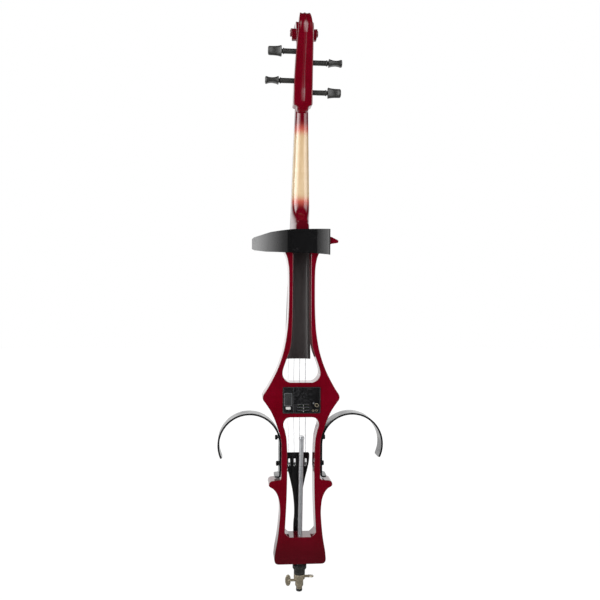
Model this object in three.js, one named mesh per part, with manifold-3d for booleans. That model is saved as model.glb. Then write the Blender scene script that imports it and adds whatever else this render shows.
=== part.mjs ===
// Electric cello with a skeleton body, in millimetres.
// X runs across the instrument, +Y from its back towards its strings, +Z from the endpin up to the scroll.
// The origin is the middle of the rubber tip's lower face, with the endpin pushed in.
import * as THREE from 'three';
import { mergeVertices } from 'three/addons/utils/BufferGeometryUtils.js';
import Module from 'manifold-3d';

const wasm = await Module();
wasm.setup();

// Driving dimensions

// body frame
const bodyThickness = 50;
const bodyStandOff = 68.5;      // how far its foot stays above the endpin's tip
const bodyLength = 757.5;
const bodyHalfWidth = 88;
const bodyEdgeRound = 2;
const seam = 0.3;               // gap between two pieces that touch
const cutOverrun = 4;           // how far a cutting tool runs past the wood

// neck, pegbox and scroll
const neckReach = 294;          // from the body's top to the nut
const nutSetBack = 6.5;         // how far behind the body's front the fingerboard's underside is there
const glueLeanShare = 0.0997;   // how much it comes forward for each unit down
const neckWidthAtNut = 30.5;
const neckDepth = 22.5;
const heelDepthGain = 4.5;
const heelRise = 67;
const heelKneeRise = 23;
const heelBackWidth = 27;
const neckFootDrop = 40;
const pegboxHalfWidth = 22.2;
const chinDrop = 22;
const pegboxRise = 152.5;         // from the nut to the scroll's eye
const scrollSetBack = 46;
const scrollRadius = 46;
const eyeRadius = 11;
const eyeButtonRadius = 7.5;
const eyeHalfWidth = 32;
const scrollTopHalfWidth = 10.5;
const pegboxWallBack = 4.8;
const pegboxCavityHalf = 13.5;
const pegboxCavityHalfTop = 11;

// fingerboard and nut
const fingerboardShare = 0.863;  // how much of the way to the bridge it covers
const fingerboardWidthEnd = 63;
const fingerboardEdge = 6.5;
const fingerboardCamber = 65;
const fingerboardHollow = 7;
const nutThickness = 5.5;
const nutRise = 1.2;

// strings, from the thinnest to the thickest
const stringDiameters = [0.8, 1.0, 1.3, 1.6];
const stringSpreadNut = 22;
const stringSpreadBridge = 44;
const stringSpreadTail = 39.6;
const ballRadius = 2;
const ballLength = 2.6;

// bridge and its pickup
const bridgeShare = 0.48235;     // how far up the body the bridge stands
const bridgeProjection = 20.55; // how far its top stands before the line of the fingerboard's underside
const bridgeHalfWidth = 45;
const bridgeFootThickness = 11;
const bridgeTopThickness = 2.6;
const bridgeLeanBack = 2;       // the back of the bridge stands straighter than its front
const pickupThickness = 1.8;
const pickupWidth = 13;
const pickupLength = 30;
const pickupMiddle = 30;
const cableRadius = 1;
const cableBend = 4;

// tailpiece, fine tuners, tail cord and saddle
const tailpieceLength = 222;
const tailpieceHalfWidth = 29;
const tailpieceThickness = 7;
const tailpieceRound = 1.5;
const tailpieceRise = 16.5;
const tailpieceStandOff = 13;
const tailpieceLeanDeg = 7.5;
const tunerSlotBelow = 6.5;
const tunerSlotAbove = 11.5;
const tunerSlotWidth = 4;
const tunerSlotFromTop = 26;
const tunerArm = 17;
const tunerLeverThickness = 2.4;
const tunerForkHeight = 6;
const tunerScrewRadius = 1.6;
const tunerKnobRadius = 4.2;
const tunerKnobHeight = 6.5;
const ballClearance = 1.4;
const tailCordRadius = 1.2;
const tailCordSpread = 7;
const saddleHalfWidth = 17;
const saddleHeight = 10;
const saddleRise = 9;

// pegs
const pegReach = 87;
const pegTaperWide = 5.9;
const pegTaperThin = 4.6;
const pegRingRadius = 7;
const pegRingLength = 3;
const pegHeadLength = 31;
const pegHeadHalfWidth = 12.5;
const pegHeadHalfThickness = 9;
const pegClearance = 0.12;
const windingTurns = 2;
const windingStepsPerTurn = 24;
const windingGap = 0.5;

// chest rest
const chestHeight = 58.5;
const chestDrop = 52.8;         // its lower edge below the body's top
const chestRight = 63.5;
const chestLeft = 114;
const chestThickness = 4;
const chestStandOff = 12;
const chestFlatHalf = 35;
const chestWingRadius = 110;
const chestFlange = 11;
const chestBend = 6;
const railHalfWidth = 20;
const railNarrowHalf = 14;
const railLength = 41;
const railDrop = 2;
const railLip = 6;
const railScrewRadius = 2.2;
const railScrewHead = 4.2;
const railScrewLength = 24;
const railScrewDrop = 18;
const railPinRadius = 2.5;
const railPinLength = 5;
const railPinSpacing = 20;

// preamp in the crossbar
const panelHalfWidth = 43;
const panelHalfHeight = 30;
const panelShare = 0.4936;      // how far up the body its middle is
const panelOffset = 0.5;
const panelThickness = 2.2;
const panelCorner = 3;
const panelLap = 1.3;
const trayDepth = 30;
const trayWall = 1.2;
const trayFloor = 1.5;
const bayWidth = 19.4;
const doorThickness = 1.8;
const doorMargin = 0.6;
const batterySize = { x: 17.5, y: 26.5, z: 48.5 };
const boardThickness = 1.6;
const boardDepth = 15;
const boardWidth = 42;
const faderTravelLength = 27;
const faderSlotWidth = 1.6;
const faderMiddle = 4.5;
const faderDrop = 11.7;
const faderPitch = 6.6;
const faderCap = { x: 4, y: 3.2, z: 3.4 };
const faderBodyHeight = 9;
const jackPlace = { x: 35, drop: 11.3 };
const jackRing = 4.5;
const jackBore = 3.2;
const jackBody = { x: 8.8, y: 24, z: 11 };
const smallJackPlaces = { headphone: { x: 34.6, drop: 23.7 }, aux: { x: 26.8, drop: 23.7 } };
const smallJackRing = 2.4;
const smallJackBore = 1.75;
const smallJackBody = { x: 6, y: 14, z: 5.4 };
const jackProud = 0.7;
const buttonPlace = { x: 27.6, drop: 6.9 };
const buttonRadius = 2;
const buttonProud = 2.1;
const buttonFlange = 0.8;
const buttonDepth = 5;
const buttonTravel = 1.5;

// knee rests
const armRadius = 70;
const armThickness = 4;
const armWidth = 48;
const armFromBack = 1;
const armSweepDeg = 206;
const armFootGap = 7.7;         // above the lower horn
const armFootLength = 14.5;     // how far its foot turns out from the leg
const armFootBend = 5;
const armScrewRises = [13.5, -46.5]; // from where the round part begins
const armScrewRadius = 2.4;
const knobRadius = 5.5;
const knobLength = 6;
const insertRadius = 4;
const insertLength = 8;

// endpin
const endpinForward = 23;       // the tip stands this far before the body's back
const endpinTiltDeg = 5.57;
const rodRadius = 5;
const rodLength = 364;
const tipRadius = 7.2;
const tipWall = 4;
const tipShoulder = 6;
const stopRingRadius = 6.2;
const stopRingWidth = 4;
const stopRingDrop = 7;
const plugFlangeRadius = 16;
const plugNarrowRadius = 12.8;
const plugFlangeLength = 10.5;
const plugDrop = 27;
const plugInsideRadius = 11.8;
const plugInsideLength = 30;
const plugGrooveRadius = 13.6;
const plugGrooveDrop = 3.6;
const collarWideRadius = 12.8;
const collarNarrowRadius = 9.3;
const collarWideLength = 12.5;
const nozzleLength = 7.5;
const nozzleRadius = 6.9;
const collarSpigotRadius = 7.4;
const collarSpigotLength = 20;
const clampScrewRadius = 1.75;
const clampLowDrop = 3.4;       // the left screw below the collar's step
const clampHighDrop = 6.9;      // the right screw below its top
const wingHeight = 28;
const wingReach = 12.5;
const wingThickness = 3.6;
const wingRootShare = 0.7;      // its thickness at the shaft
const wingStart = 20;
const highWingTurnDeg = 18;      // how far the right screw is turned past level

// Derived places

const turn = Math.PI * 2;
const quarter = Math.PI / 2;
const degree = Math.PI / 180;
const xAxis = new THREE.Vector3(1, 0, 0);
const yAxis = new THREE.Vector3(0, 1, 0);
const zAxis = new THREE.Vector3(0, 0, 1);
const bodyFront = bodyThickness;
const bodyBottom = bodyStandOff;
const bodyTop = bodyBottom + bodyLength;
const nutHeight = bodyTop + neckReach;
const bridgeStation = bodyBottom + bridgeShare * bodyLength;
const fingerboardEnd = nutHeight - fingerboardShare * (nutHeight - bridgeStation);
const gluePlaneAtNut = bodyThickness - nutSetBack;
const heelTop = bodyTop + heelRise;
const heelKnee = bodyTop + heelKneeRise;
const scrollEyeHeight = nutHeight + pegboxRise;
const scrollEyeBack = gluePlaneAtNut - scrollSetBack;
const railTop = bodyTop - railDrop;
const railBottom = railTop - railLength;
const railScrewHeight = bodyTop - railScrewDrop;
const panelMiddle = bodyBottom + panelShare * bodyLength;
const tailpieceFoot = bodyBottom + tailpieceRise;
const tailpieceFootForward = bodyFront + tailpieceStandOff;
const plugHeight = bodyBottom - plugDrop;
const collarStep = plugHeight - collarWideLength;
const collarNozzle = tipShoulder + nozzleLength;
const clampLowHeight = collarStep - clampLowDrop;
const clampHighHeight = plugHeight - clampHighDrop;
const stopRingHeight = rodLength - stopRingDrop;
const endpinTilt = endpinTiltDeg * degree;
const tailpieceLean = tailpieceLeanDeg * degree;

const bodyAt = (xShare, zShare) => [xShare * bodyHalfWidth, bodyBottom + zShare * bodyLength];
const gluePlane = (z) => gluePlaneAtNut + (nutHeight - z) * glueLeanShare;
const neckWidth = (z) => neckWidthAtNut
  + (fingerboardWidthEnd - neckWidthAtNut) * (nutHeight - z) / (nutHeight - fingerboardEnd);
const sagitta = (radius, x) => radius - Math.sqrt(radius * radius - x * x);
const mix = (a, b, share) => a + (b - a) * share;

// Geometry helpers

// Turns a closed mesh into a solid, with its shared corners joined and its faces outward.
function solidOf(geometry) {
  const bare = geometry.index ? geometry.toNonIndexed() : geometry.clone();
  for (const name of Object.keys(bare.attributes)) {
    if (name !== 'position') bare.deleteAttribute(name);
  }
  const merged = mergeVertices(bare);
  const triangles = [];
  for (let i = 0; i < merged.index.count; i += 3) {
    const [a, b, c] = [0, 1, 2].map((k) => merged.index.getX(i + k));
    if (a !== b && b !== c && c !== a) triangles.push(a, b, c);
  }
  const make = (corners) => new wasm.Manifold(new wasm.Mesh({
    numProp: 3,
    vertProperties: new Float32Array(merged.attributes.position.array),
    triVerts: new Uint32Array(corners),
  }));
  const solid = make(triangles);
  return solid.volume() < 0 ? make(triangles.toReversed()) : solid;
}

function geometryOf(solid) {
  const mesh = solid.getMesh();
  const geometry = new THREE.BufferGeometry();
  geometry.setAttribute('position', new THREE.BufferAttribute(new Float32Array(mesh.vertProperties), 3));
  geometry.setIndex([...mesh.triVerts]);
  geometry.computeVertexNormals();
  return geometry;
}

const join = (first, ...others) => others.reduce((sum, solid) => sum.add(solid), first);
const cut = (first, ...tools) => tools.reduce((rest, tool) => rest.subtract(tool), first);

function outline(points, holes = []) {
  const shape = new THREE.Shape(points.map(([a, b]) => new THREE.Vector2(a, b)));
  for (const hole of holes) shape.holes.push(new THREE.Path(hole.map(([a, b]) => new THREE.Vector2(a, b))));
  return shape;
}

// Extrudes an outline drawn in two of the axes along the third one, from low to high.
function extruded(shape, low, high, basis, round = 0, roundSteps = 2) {
  const geometry = new THREE.ExtrudeGeometry(shape, {
    depth: high - low - 2 * round,
    bevelEnabled: round > 0,
    bevelThickness: round,
    bevelSize: round,
    bevelOffset: -round,
    bevelSegments: roundSteps,
    curveSegments: 8,
  });
  geometry.translate(0, 0, round);
  geometry.applyMatrix4(new THREE.Matrix4().makeBasis(...basis));
  return geometry;
}
function throughX(points, low, high, round, roundSteps) {
  const geometry = extruded(outline(points), low, high, [yAxis, zAxis, xAxis], round, roundSteps);
  return solidOf(geometry.translate(low, 0, 0));
}
function throughY(points, low, high, round, roundSteps, holes) {
  const back = yAxis.clone().negate();
  const geometry = extruded(outline(points, holes), low, high, [xAxis, zAxis, back], round, roundSteps);
  return solidOf(geometry.translate(0, high, 0));
}
function throughZ(points, low, high) {
  return solidOf(extruded(outline(points), low, high, [xAxis, yAxis, zAxis]).translate(0, 0, low));
}
function box(x0, x1, y0, y1, z0, z1) {
  const geometry = new THREE.BoxGeometry(x1 - x0, y1 - y0, z1 - z0);
  return solidOf(geometry.translate((x0 + x1) / 2, (y0 + y1) / 2, (z0 + z1) / 2));
}

// Turns a profile of [radius, distance] round an axis that starts at a point.
function turned(profile, start, direction, sides = 16) {
  const geometry = new THREE.LatheGeometry(profile.map(([r, d]) => new THREE.Vector2(r, d)), sides);
  geometry.applyQuaternion(new THREE.Quaternion().setFromUnitVectors(yAxis, direction));
  return solidOf(geometry.translate(...start));
}
const rod = (radius, start, direction, length, sides) => turned(
  [[0, 0], [radius, 0], [radius, length], [0, length]], start, direction, sides);
// A many-sided bore whose flats still clear a round shaft.
const boreRadius = (radius, sides) => radius / Math.cos(Math.PI / sides);

const arc = (x, y, radius, from, to, steps) => Array.from({ length: steps + 1 }, (_, i) => {
  const angle = mix(from, to, i / steps);
  return [x + radius * Math.cos(angle), y + radius * Math.sin(angle)];
});
const bend = (a, control, b, steps) => new THREE.QuadraticBezierCurve(
  ...[a, control, b].map((p) => new THREE.Vector2(...p))).getPoints(steps).map((p) => [p.x, p.y]);
const flowing = (points, steps) => new THREE.SplineCurve(
  points.map((p) => new THREE.Vector2(...p))).getPoints(steps).map((p) => [p.x, p.y]);
const mirrored = (points) => points.map(([x, z]) => [-x, z]).reverse();
const roundedBox = (x0, x1, z0, z1, corner, steps = 3) => [
  ...arc(x1 - corner, z1 - corner, corner, 0, quarter, steps),
  ...arc(x0 + corner, z1 - corner, corner, quarter, 2 * quarter, steps),
  ...arc(x0 + corner, z0 + corner, corner, 2 * quarter, 3 * quarter, steps),
  ...arc(x1 - corner, z0 + corner, corner, 3 * quarter, turn, steps),
];

// Skins a row of rings, each with the same number of corners, and closes both ends.
function lofted(rings) {
  const count = rings[0].length;
  const corners = rings.flat();
  const triangles = [];
  for (let ring = 0; ring + 1 < rings.length; ring += 1) {
    for (let i = 0; i < count; i += 1) {
      const a = ring * count + i;
      const b = ring * count + (i + 1) % count;
      triangles.push(a, b, b + count, a, b + count, a + count);
    }
  }
  const last = (rings.length - 1) * count;
  for (let i = 1; i + 1 < count; i += 1) {
    triangles.push(0, i + 1, i, last, last + i, last + i + 1);
  }
  const geometry = new THREE.BufferGeometry();
  const places = corners.flatMap((p) => [p.x, p.y, p.z]);
  geometry.setAttribute('position', new THREE.Float32BufferAttribute(places, 3));
  geometry.setIndex(triangles);
  return solidOf(geometry);
}

// One unbroken tube through a row of points, its rings square to the path.
function tubeThrough(points, radius, sides) {
  const rings = [];
  let side = null;
  points.forEach((point, i) => {
    const before = points[Math.max(i - 1, 0)];
    const after = points[Math.min(i + 1, points.length - 1)];
    const along = after.clone().sub(before).normalize();
    const start = side ?? (Math.abs(along.x) < Math.SQRT1_2 ? xAxis.clone() : yAxis.clone());
    side = start.sub(along.clone().multiplyScalar(start.dot(along))).normalize();
    const across = along.clone().cross(side);
    rings.push(Array.from({ length: sides }, (_, k) => point.clone()
      .addScaledVector(side, radius * Math.cos(turn * k / sides))
      .addScaledVector(across, radius * Math.sin(turn * k / sides))));
  });
  return lofted(rings);
}
function cordAlong(points, radius, sides, steps) {
  const section = new THREE.Shape(arc(0, 0, radius, 0, turn * (sides - 1) / sides, sides - 1)
    .map((p) => new THREE.Vector2(...p)));
  const extrudePath = new THREE.CatmullRomCurve3(points);
  return solidOf(new THREE.ExtrudeGeometry(section, { steps, extrudePath }));
}

// Materials: what the photograph shows of each surface
const looks = {
  lacquer: { color: 0x8c0a22, roughness: 0.18, metalness: 0 },
  blondMaple: { color: 0xd9b98a, roughness: 0.35, metalness: 0 },
  ebony: { color: 0x18171a, roughness: 0.42, metalness: 0 },
  bridgeMaple: { color: 0xc79a5c, roughness: 0.6, metalness: 0 },
  blackPlastic: { color: 0x141416, roughness: 0.4, metalness: 0 },
  greyPlastic: { color: 0x55565a, roughness: 0.5, metalness: 0 },
  rubber: { color: 0x111111, roughness: 0.8, metalness: 0 },
  blackMetal: { color: 0x1b1b1d, roughness: 0.35, metalness: 0.6 },
  nickel: { color: 0xb5a890, roughness: 0.3, metalness: 1 },
  steel: { color: 0xb8babd, roughness: 0.25, metalness: 1 },
  brass: { color: 0xb08d4a, roughness: 0.35, metalness: 1 },
  board: { color: 0x1f4d33, roughness: 0.5, metalness: 0 },
  batteryCase: { color: 0x8d8f94, roughness: 0.4, metalness: 0.3 },
};

const cello = new THREE.Group();
cello.position.y = -endpinForward;

function place(name, solid, look, parent = cello) {
  const mesh = new THREE.Mesh(geometryOf(solid), new THREE.MeshStandardMaterial(looks[look]));
  mesh.name = name;
  parent.add(mesh);
  return mesh;
}

// The endpin leans: its group stands on the tip, with its own Z up the rod.
const endpin = new THREE.Group();
endpin.position.y = endpinForward;
endpin.rotation.x = endpinTilt;
cello.add(endpin);
endpin.updateMatrix();
const fromEndpin = (x, y, z) => new THREE.Vector3(x, y, z).applyMatrix4(endpin.matrix);
const endpinUp = new THREE.Vector3(0, -Math.sin(endpinTilt), Math.cos(endpinTilt));

// The tailpiece leans too: its own Z runs up its length, its own Y out of its front.
const tail = new THREE.Group();
tail.position.set(0, tailpieceFootForward, tailpieceFoot);
tail.rotation.x = -tailpieceLean;
cello.add(tail);
tail.updateMatrix();
const fromTail = (x, y, z) => new THREE.Vector3(x, y, z).applyMatrix4(tail.matrix);

// Body frame

// half outlines, as shares of the half width and of the body's length
const lowerFlankShares = [[0.668, 0.0145], [0.648, 0.038], [0.586, 0.08], [0.545, 0.126], [0.531, 0.16],
  [0.56, 0.194], [0.628, 0.215], [0.713, 0.2275]];
const lowerHornShares = [[0.768, 0.231], [0.84, 0.235], [0.823, 0.242], [0.814, 0.25], [0.736, 0.251]];
const hornRootShares = [[0.586, 0.2526], [0.505, 0.2534], [0.505, 0.263]];
const armSeatShares = [0.505, 0.359];
const shoulderShares = [armSeatShares, [0.516, 0.373], [0.547, 0.389], [0.592, 0.404], [0.666, 0.43],
  [0.786, 0.46], [0.937, 0.4865]];
const pointControlShares = [1.06, 0.5005];
const waistShares = [[0.937, 0.5175], [0.844, 0.535], [0.692, 0.568], [0.58, 0.598], [0.494, 0.6285],
  [0.433, 0.658], [0.374, 0.704], [0.345, 0.761], [0.337, 0.814], [0.339, 0.87], [0.356, 0.8995],
  [0.414, 0.9285], [0.552, 0.9505], [0.759, 0.9635]];
const upperHornShare = [0.8954, 0.971];
const topEdgeShares = [[0.766, 0.984], [0.575, 0.9915], [0.402, 0.997], [0.253, 1]];
const upperOpeningTopShare = 0.952;
const upperOpeningSideShare = 0.2345;
const openingCorner = 6;
const upperOpeningShares = [[0.2345, 0.796], [0.241, 0.733], [0.264, 0.6735], [0.307, 0.643],
  [0.362, 0.624], [0.431, 0.6015], [0.478, 0.5835], [0.487, 0.572], [0.463, 0.562], [0.418, 0.5545],
  [0.351, 0.5485], [0.287, 0.546]];
const lowerOpeningShares = [[0.287, 0.4417], [0.3655, 0.4395], [0.422, 0.4335], [0.4575, 0.4237],
  [0.454, 0.415], [0.422, 0.404], [0.391, 0.3885], [0.371, 0.3735], [0.356, 0.344], [0.3505, 0.305],
  [0.352, 0.258], [0.363, 0.1935], [0.387, 0.133], [0.405, 0.097]];
const lowerOpeningFootShares = [[0.391, 0.0927], [0.279, 0.081]];
const bottomCorner = 11;
const hornTipRadius = 3.6;

const share = (list) => list.map((pair) => bodyAt(...pair));
const [armSeat, armCentre] = bodyAt(...armSeatShares);
const armScrewHeights = armScrewRises.map((rise) => armCentre + rise);
const armFootHeight = bodyAt(...hornRootShares[0])[1] + armFootGap;

function bodyOutline() {
  const flank = share(lowerFlankShares);
  const horn = share(lowerHornShares);
  const root = share(hornRootShares);
  const shoulder = share(shoulderShares);
  const waist = share(waistShares);
  const tip = bodyAt(...upperHornShare);
  const half = [
    ...bend([flank[0][0] - bottomCorner, bodyBottom], [flank[0][0], bodyBottom], flank[0], 4),
    ...flowing(flank, 12).slice(1),
    ...bend(horn[0], horn[1], horn[2], 3),
    ...bend(horn[2], horn[3], horn[4], 3).slice(1),
    ...bend(root[0], root[1], root[2], 4),
    ...flowing(shoulder, 12),
    ...bend(shoulder.at(-1), bodyAt(...pointControlShares), waist[0], 6).slice(1),
    ...flowing(waist, 26).slice(1),
    ...arc(...tip, hornTipRadius, -0.85 * quarter, 0.6 * quarter, 4),
    ...share(topEdgeShares),
  ];
  return [...half, ...mirrored(half)];
}

function upperOpening() {
  const side = upperOpeningSideShare * bodyHalfWidth;
  const top = bodyBottom + upperOpeningTopShare * bodyLength;
  const half = [
    ...flowing(share(upperOpeningShares).reverse(), 18),
    ...arc(side - openingCorner, top - openingCorner, openingCorner, 0, quarter, 3),
  ];
  return [...half, ...mirrored(half)];
}

function lowerOpening() {
  const half = [
    ...share(lowerOpeningFootShares).reverse(),
    ...flowing(share(lowerOpeningShares).reverse(), 20),
  ];
  return [...half, ...mirrored(half)];
}

const cavityDepth = trayDepth + seam;
const cavity = {
  x0: panelOffset - panelHalfWidth + panelLap,
  x1: panelOffset + panelHalfWidth - panelLap,
  z0: panelMiddle - panelHalfHeight + panelLap,
  z1: panelMiddle + panelHalfHeight - panelLap,
};
const cableX = pickupMiddle - pickupLength / 3;
const cableHole = bridgeStation + pickupWidth / 2 + seam + cableBend;
const armOuter = armSeat + 2 * seam + armThickness;
const armMiddleX = armOuter - armThickness / 2 + armRadius;
const armMiddleY = armFromBack + armWidth / 2;
// how far outside the arm's straight leg its round part lies at a height
const armDrift = (z) => sagitta(armRadius, Math.max(z - armCentre, 0));
const insertOuter = (z) => armSeat + armDrift(z) - (z > armCentre ? seam : 0);

function bodyFrame() {
  let solid = throughY(bodyOutline(), 0, bodyFront, bodyEdgeRound, 1, [upperOpening(), lowerOpening()]);
  solid = cut(solid,
    box(cavity.x0, cavity.x1, -cutOverrun, cavityDepth, cavity.z0, cavity.z1),
    rod(cableRadius + 2 * seam, [cableX, cavityDepth - cutOverrun, cableHole], yAxis, bodyThickness, 8),
    box(cableX - cableRadius - seam, cableX + cableRadius + seam,
      bodyFront - cableBend, bodyFront + cutOverrun,
      cableHole - cableBend, cableHole));
  const socket = turned([
    [0, -cutOverrun],
    [plugInsideRadius + 2 * seam, -cutOverrun],
    [plugInsideRadius + 2 * seam, plugInsideLength + seam],
    [rodRadius + 2 * seam, plugInsideLength + seam],
    [rodRadius + 2 * seam, bodyThickness * 2],
    [0, bodyThickness * 2],
  ], fromEndpin(0, 0, bodyBottom), endpinUp, 20);
  solid = cut(solid, socket);
  for (const side of [-1, 1]) {
    for (const z of armScrewHeights) {
      const start = [side * (insertOuter(z) - seam - insertLength), armMiddleY, z];
      const inward = xAxis.clone().multiplyScalar(side);
      solid = cut(solid, rod(insertRadius + seam, start, inward, insertLength * 2, 12));
    }
    solid = cut(solid, rod(railPinRadius + seam, [side * railPinSpacing / 2, -cutOverrun, railScrewHeight],
      yAxis, cutOverrun + railPinLength + seam, 10));
  }
  const screwDepth = railScrewLength - chestStandOff + 3 * seam;
  return cut(solid, rod(railScrewRadius + seam, [0, -cutOverrun, railScrewHeight], yAxis,
    cutOverrun + screwDepth, 10));
}
place('body_frame', bodyFrame(), 'lacquer');

// Neck, pegbox and scroll, carved from one piece

// Places in the pegbox are shares of its height, from the nut's foot: forward, then up.
const pegboxAt = ([y, z]) => [gluePlaneAtNut + y * pegboxRise, nutHeight + z * pegboxRise];

// side of the head, place of the hole, string, how far the head reaches
const pegShares = [
  { name: 'a', side: -1, at: [-0.219, 0.3213], string: 0, flat: false, reach: 1 },
  { name: 'd', side: -1, at: [-0.376, 0.7115], string: 1, flat: true, reach: 0.9425 },
  { name: 'g', side: 1, at: [-0.318, 0.5679], string: 2, flat: false, reach: 1 },
  { name: 'c', side: 1, at: [-0.175, 0.1639], string: 3, flat: true, reach: 1.01 },
];
const pegs = pegShares.map(({ at, reach, ...peg }) => {
  const [y, z] = pegboxAt(at);
  return { ...peg, y, z, tip: reach * pegReach };
});

// back and front edges of the pegbox seen from the side, from the nut upwards, as shares of its height
const pegboxBackShares = [[-0.25, -0.02], [-0.252, 0.05], [-0.275, 0.2], [-0.318, 0.364], [-0.384, 0.53],
  [-0.45, 0.659], [-0.507, 0.762], [-0.56, 0.854], [-0.596, 0.94]];
const pegboxFrontShares = [[-0.005, 0.05], [-0.04, 0.166], [-0.093, 0.318], [-0.172, 0.497],
  [-0.268, 0.656], [-0.315, 0.757]];
const chinShares = [[-0.113, -0.128], [-0.189, -0.122], [-0.23, -0.09]];
const pegboxWidthShares = [[1, 0.013], [0.958, 0.33], [0.9, 0.63], [0.82, 0.86], [0.7, 1.06], [0.565, 1.2]];

// The volute's edge: its radius falls from the scroll's top to the eye in two turns.
const voluteTurns = 2;
const volutePower = 1.35;
const voluteRadius = (turns) => eyeRadius
  + (scrollRadius - eyeRadius) * (1 - Math.max(turns, 0) / voluteTurns) ** volutePower;
const voluteAt = (turns) => [
  scrollEyeBack + voluteRadius(turns) * Math.sin(turn * turns),
  scrollEyeHeight + voluteRadius(turns) * Math.cos(turn * turns),
];
const volute = (from, to, steps) => Array.from({ length: steps + 1 },
  (_, i) => voluteAt(mix(from, to, i / steps)));

function neckShaft() {
  const rings = [];
  const foot = bodyTop + seam;
  // height, depth behind the fingerboard, how much of the front's width the back keeps, squareness
  const fullDepth = (z) => gluePlane(z);
  const stations = [
    [nutHeight + nutThickness + 2 * seam, neckDepth, 0, 0.8],
    [mix(heelTop, nutHeight, 0.85), neckDepth, 0, 0.8],
    [mix(heelTop, nutHeight, 0.4), neckDepth + heelDepthGain / 3, 0, 0.8],
    [heelTop + heelDepthGain * 4, neckDepth + heelDepthGain * 0.8, 0, 0.75],
    [heelTop, neckDepth + heelDepthGain * 1.3, 0.1, 0.7],
    [mix(heelKnee, heelTop, 0.7), mix(neckDepth, fullDepth(heelTop), 0.24), 0.25, 0.65],
    [mix(heelKnee, heelTop, 0.44), mix(neckDepth, fullDepth(heelTop), 0.47), 0.5, 0.6],
    [mix(heelKnee, heelTop, 0.2), mix(neckDepth, fullDepth(heelKnee), 0.76), 0.8, 0.55],
    [heelKnee, fullDepth(heelKnee) * 0.97, 1, 0.5],
    [heelKnee - heelDepthGain, fullDepth(heelKnee - heelDepthGain), 1, 0.45],
    [foot, fullDepth(foot), 1, 0.4],
  ];
  const steps = 10;
  for (const [z, depth, heelShare, power] of stations) {
    const front = neckWidth(z) / 2;
    const backHalf = mix(front, heelBackWidth / 2, heelShare);
    rings.push(Array.from({ length: steps + 1 }, (_, i) => {
      const angle = Math.PI * i / steps;
      const downShare = Math.sin(angle) ** power;
      const acrossShare = Math.sign(Math.cos(angle)) * Math.abs(Math.cos(angle)) ** power;
      return new THREE.Vector3(acrossShare * mix(front, backHalf, downShare),
        gluePlane(z) - depth * downShare, z);
    }));
  }
  const footHalf = neckWidth(foot) / 2;
  const low = foot - neckFootDrop;
  const overBody = throughX([
    [bodyFront + seam, low],
    [gluePlane(low), low],
    [gluePlane(foot + heelDepthGain), foot + heelDepthGain],
    [bodyFront + seam, foot + heelDepthGain],
  ], -footHalf, footHalf);
  return join(lofted(rings), overBody);
}

function scroll() {
  const back = pegboxBackShares.map(pegboxAt);
  const side = [
    [gluePlane(nutHeight), nutHeight - chinDrop],
    [gluePlane(nutHeight + nutThickness), nutHeight + nutThickness],
    ...pegboxFrontShares.map(pegboxAt),
    ...volute(0.5, -0.25, 18),
    ...[...back].reverse(),
    ...chinShares.map(pegboxAt).reverse(),
  ];
  const widths = pegboxWidthShares.map(([w, z]) => [w * pegboxHalfWidth, nutHeight + z * pegboxRise]);
  const top = [scrollTopHalfWidth, scrollEyeHeight + scrollRadius + cutOverrun];
  const halfFront = [
    ...arc(0, widths[0][1], pegboxHalfWidth, -quarter, 0, 8).slice(1, -1),
    ...widths,
    top,
  ];
  const front = throughY([...halfFront, ...mirrored(halfFront)],
    scrollEyeBack - 2 * scrollRadius, gluePlaneAtNut + scrollRadius);
  const main = throughX(side, -pegboxHalfWidth, pegboxHalfWidth).intersect(front);
  const secondHalf = mix(scrollTopHalfWidth, eyeHalfWidth, 0.45);
  const thirdHalf = mix(scrollTopHalfWidth, eyeHalfWidth, 0.8);
  const second = throughX(volute(0.5, 1.5, 20).reverse(), -secondHalf, secondHalf);
  const third = throughX(volute(1.25, 2, 14).reverse(), -thirdHalf, thirdHalf);
  const eye = rod(eyeButtonRadius, [-eyeHalfWidth, scrollEyeBack, scrollEyeHeight], xAxis,
    eyeHalfWidth * 2, 16);
  return join(main, second, third, eye);
}

function pegboxCavity() {
  const back = pegboxBackShares.map(pegboxAt).slice(1, 7).map(([y, z]) => [y + pegboxWallBack, z]);
  const start = nutHeight + nutThickness + 3 * seam;
  const end = pegs[1].z + pegTaperWide + stringDiameters[1] * 2 + seam;
  const floorTop = [back.at(-1)[0], end];
  const side = [
    [gluePlaneAtNut + cutOverrun, start],
    [gluePlaneAtNut + cutOverrun, end],
    floorTop,
    ...back.reverse(),
    [back.at(-1)[0], start],
  ];
  const round = pegboxCavityHalfTop / 3;
  const half = [
    [pegboxCavityHalf - round, start],
    [pegboxCavityHalf, start + round],
    [pegboxCavityHalfTop, end - round],
    [pegboxCavityHalfTop - round, end],
  ];
  return throughX(side, -pegboxCavityHalf, pegboxCavityHalf)
    .intersect(throughY([...half, ...mirrored(half)], scrollEyeBack - scrollRadius, 2 * gluePlaneAtNut));
}

// The peg's taper starts outside the near wall and ends just past the far one.
const pegTaperAt = (share) => mix(pegTaperWide, pegTaperThin, share);
const pegShoulder = pegboxHalfWidth + 2 * seam;
const pegRun = pegShoulder * 2;

function neck() {
  const sides = 16;
  const bores = pegs.map(({ side, y, z }) => {
    const grow = (radius) => boreRadius(radius + pegClearance, sides);
    return turned([
      [0, -cutOverrun],
      [grow(pegTaperAt(-cutOverrun / pegRun)), -cutOverrun],
      [grow(pegTaperAt(1 + cutOverrun / pegRun)), pegRun + cutOverrun],
      [0, pegRun + cutOverrun],
    ], [side * pegShoulder, y, z], xAxis.clone().multiplyScalar(-side), sides);
  });
  return cut(join(neckShaft(), scroll()), pegboxCavity(), ...bores);
}
place('neck', neck(), 'lacquer');

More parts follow.
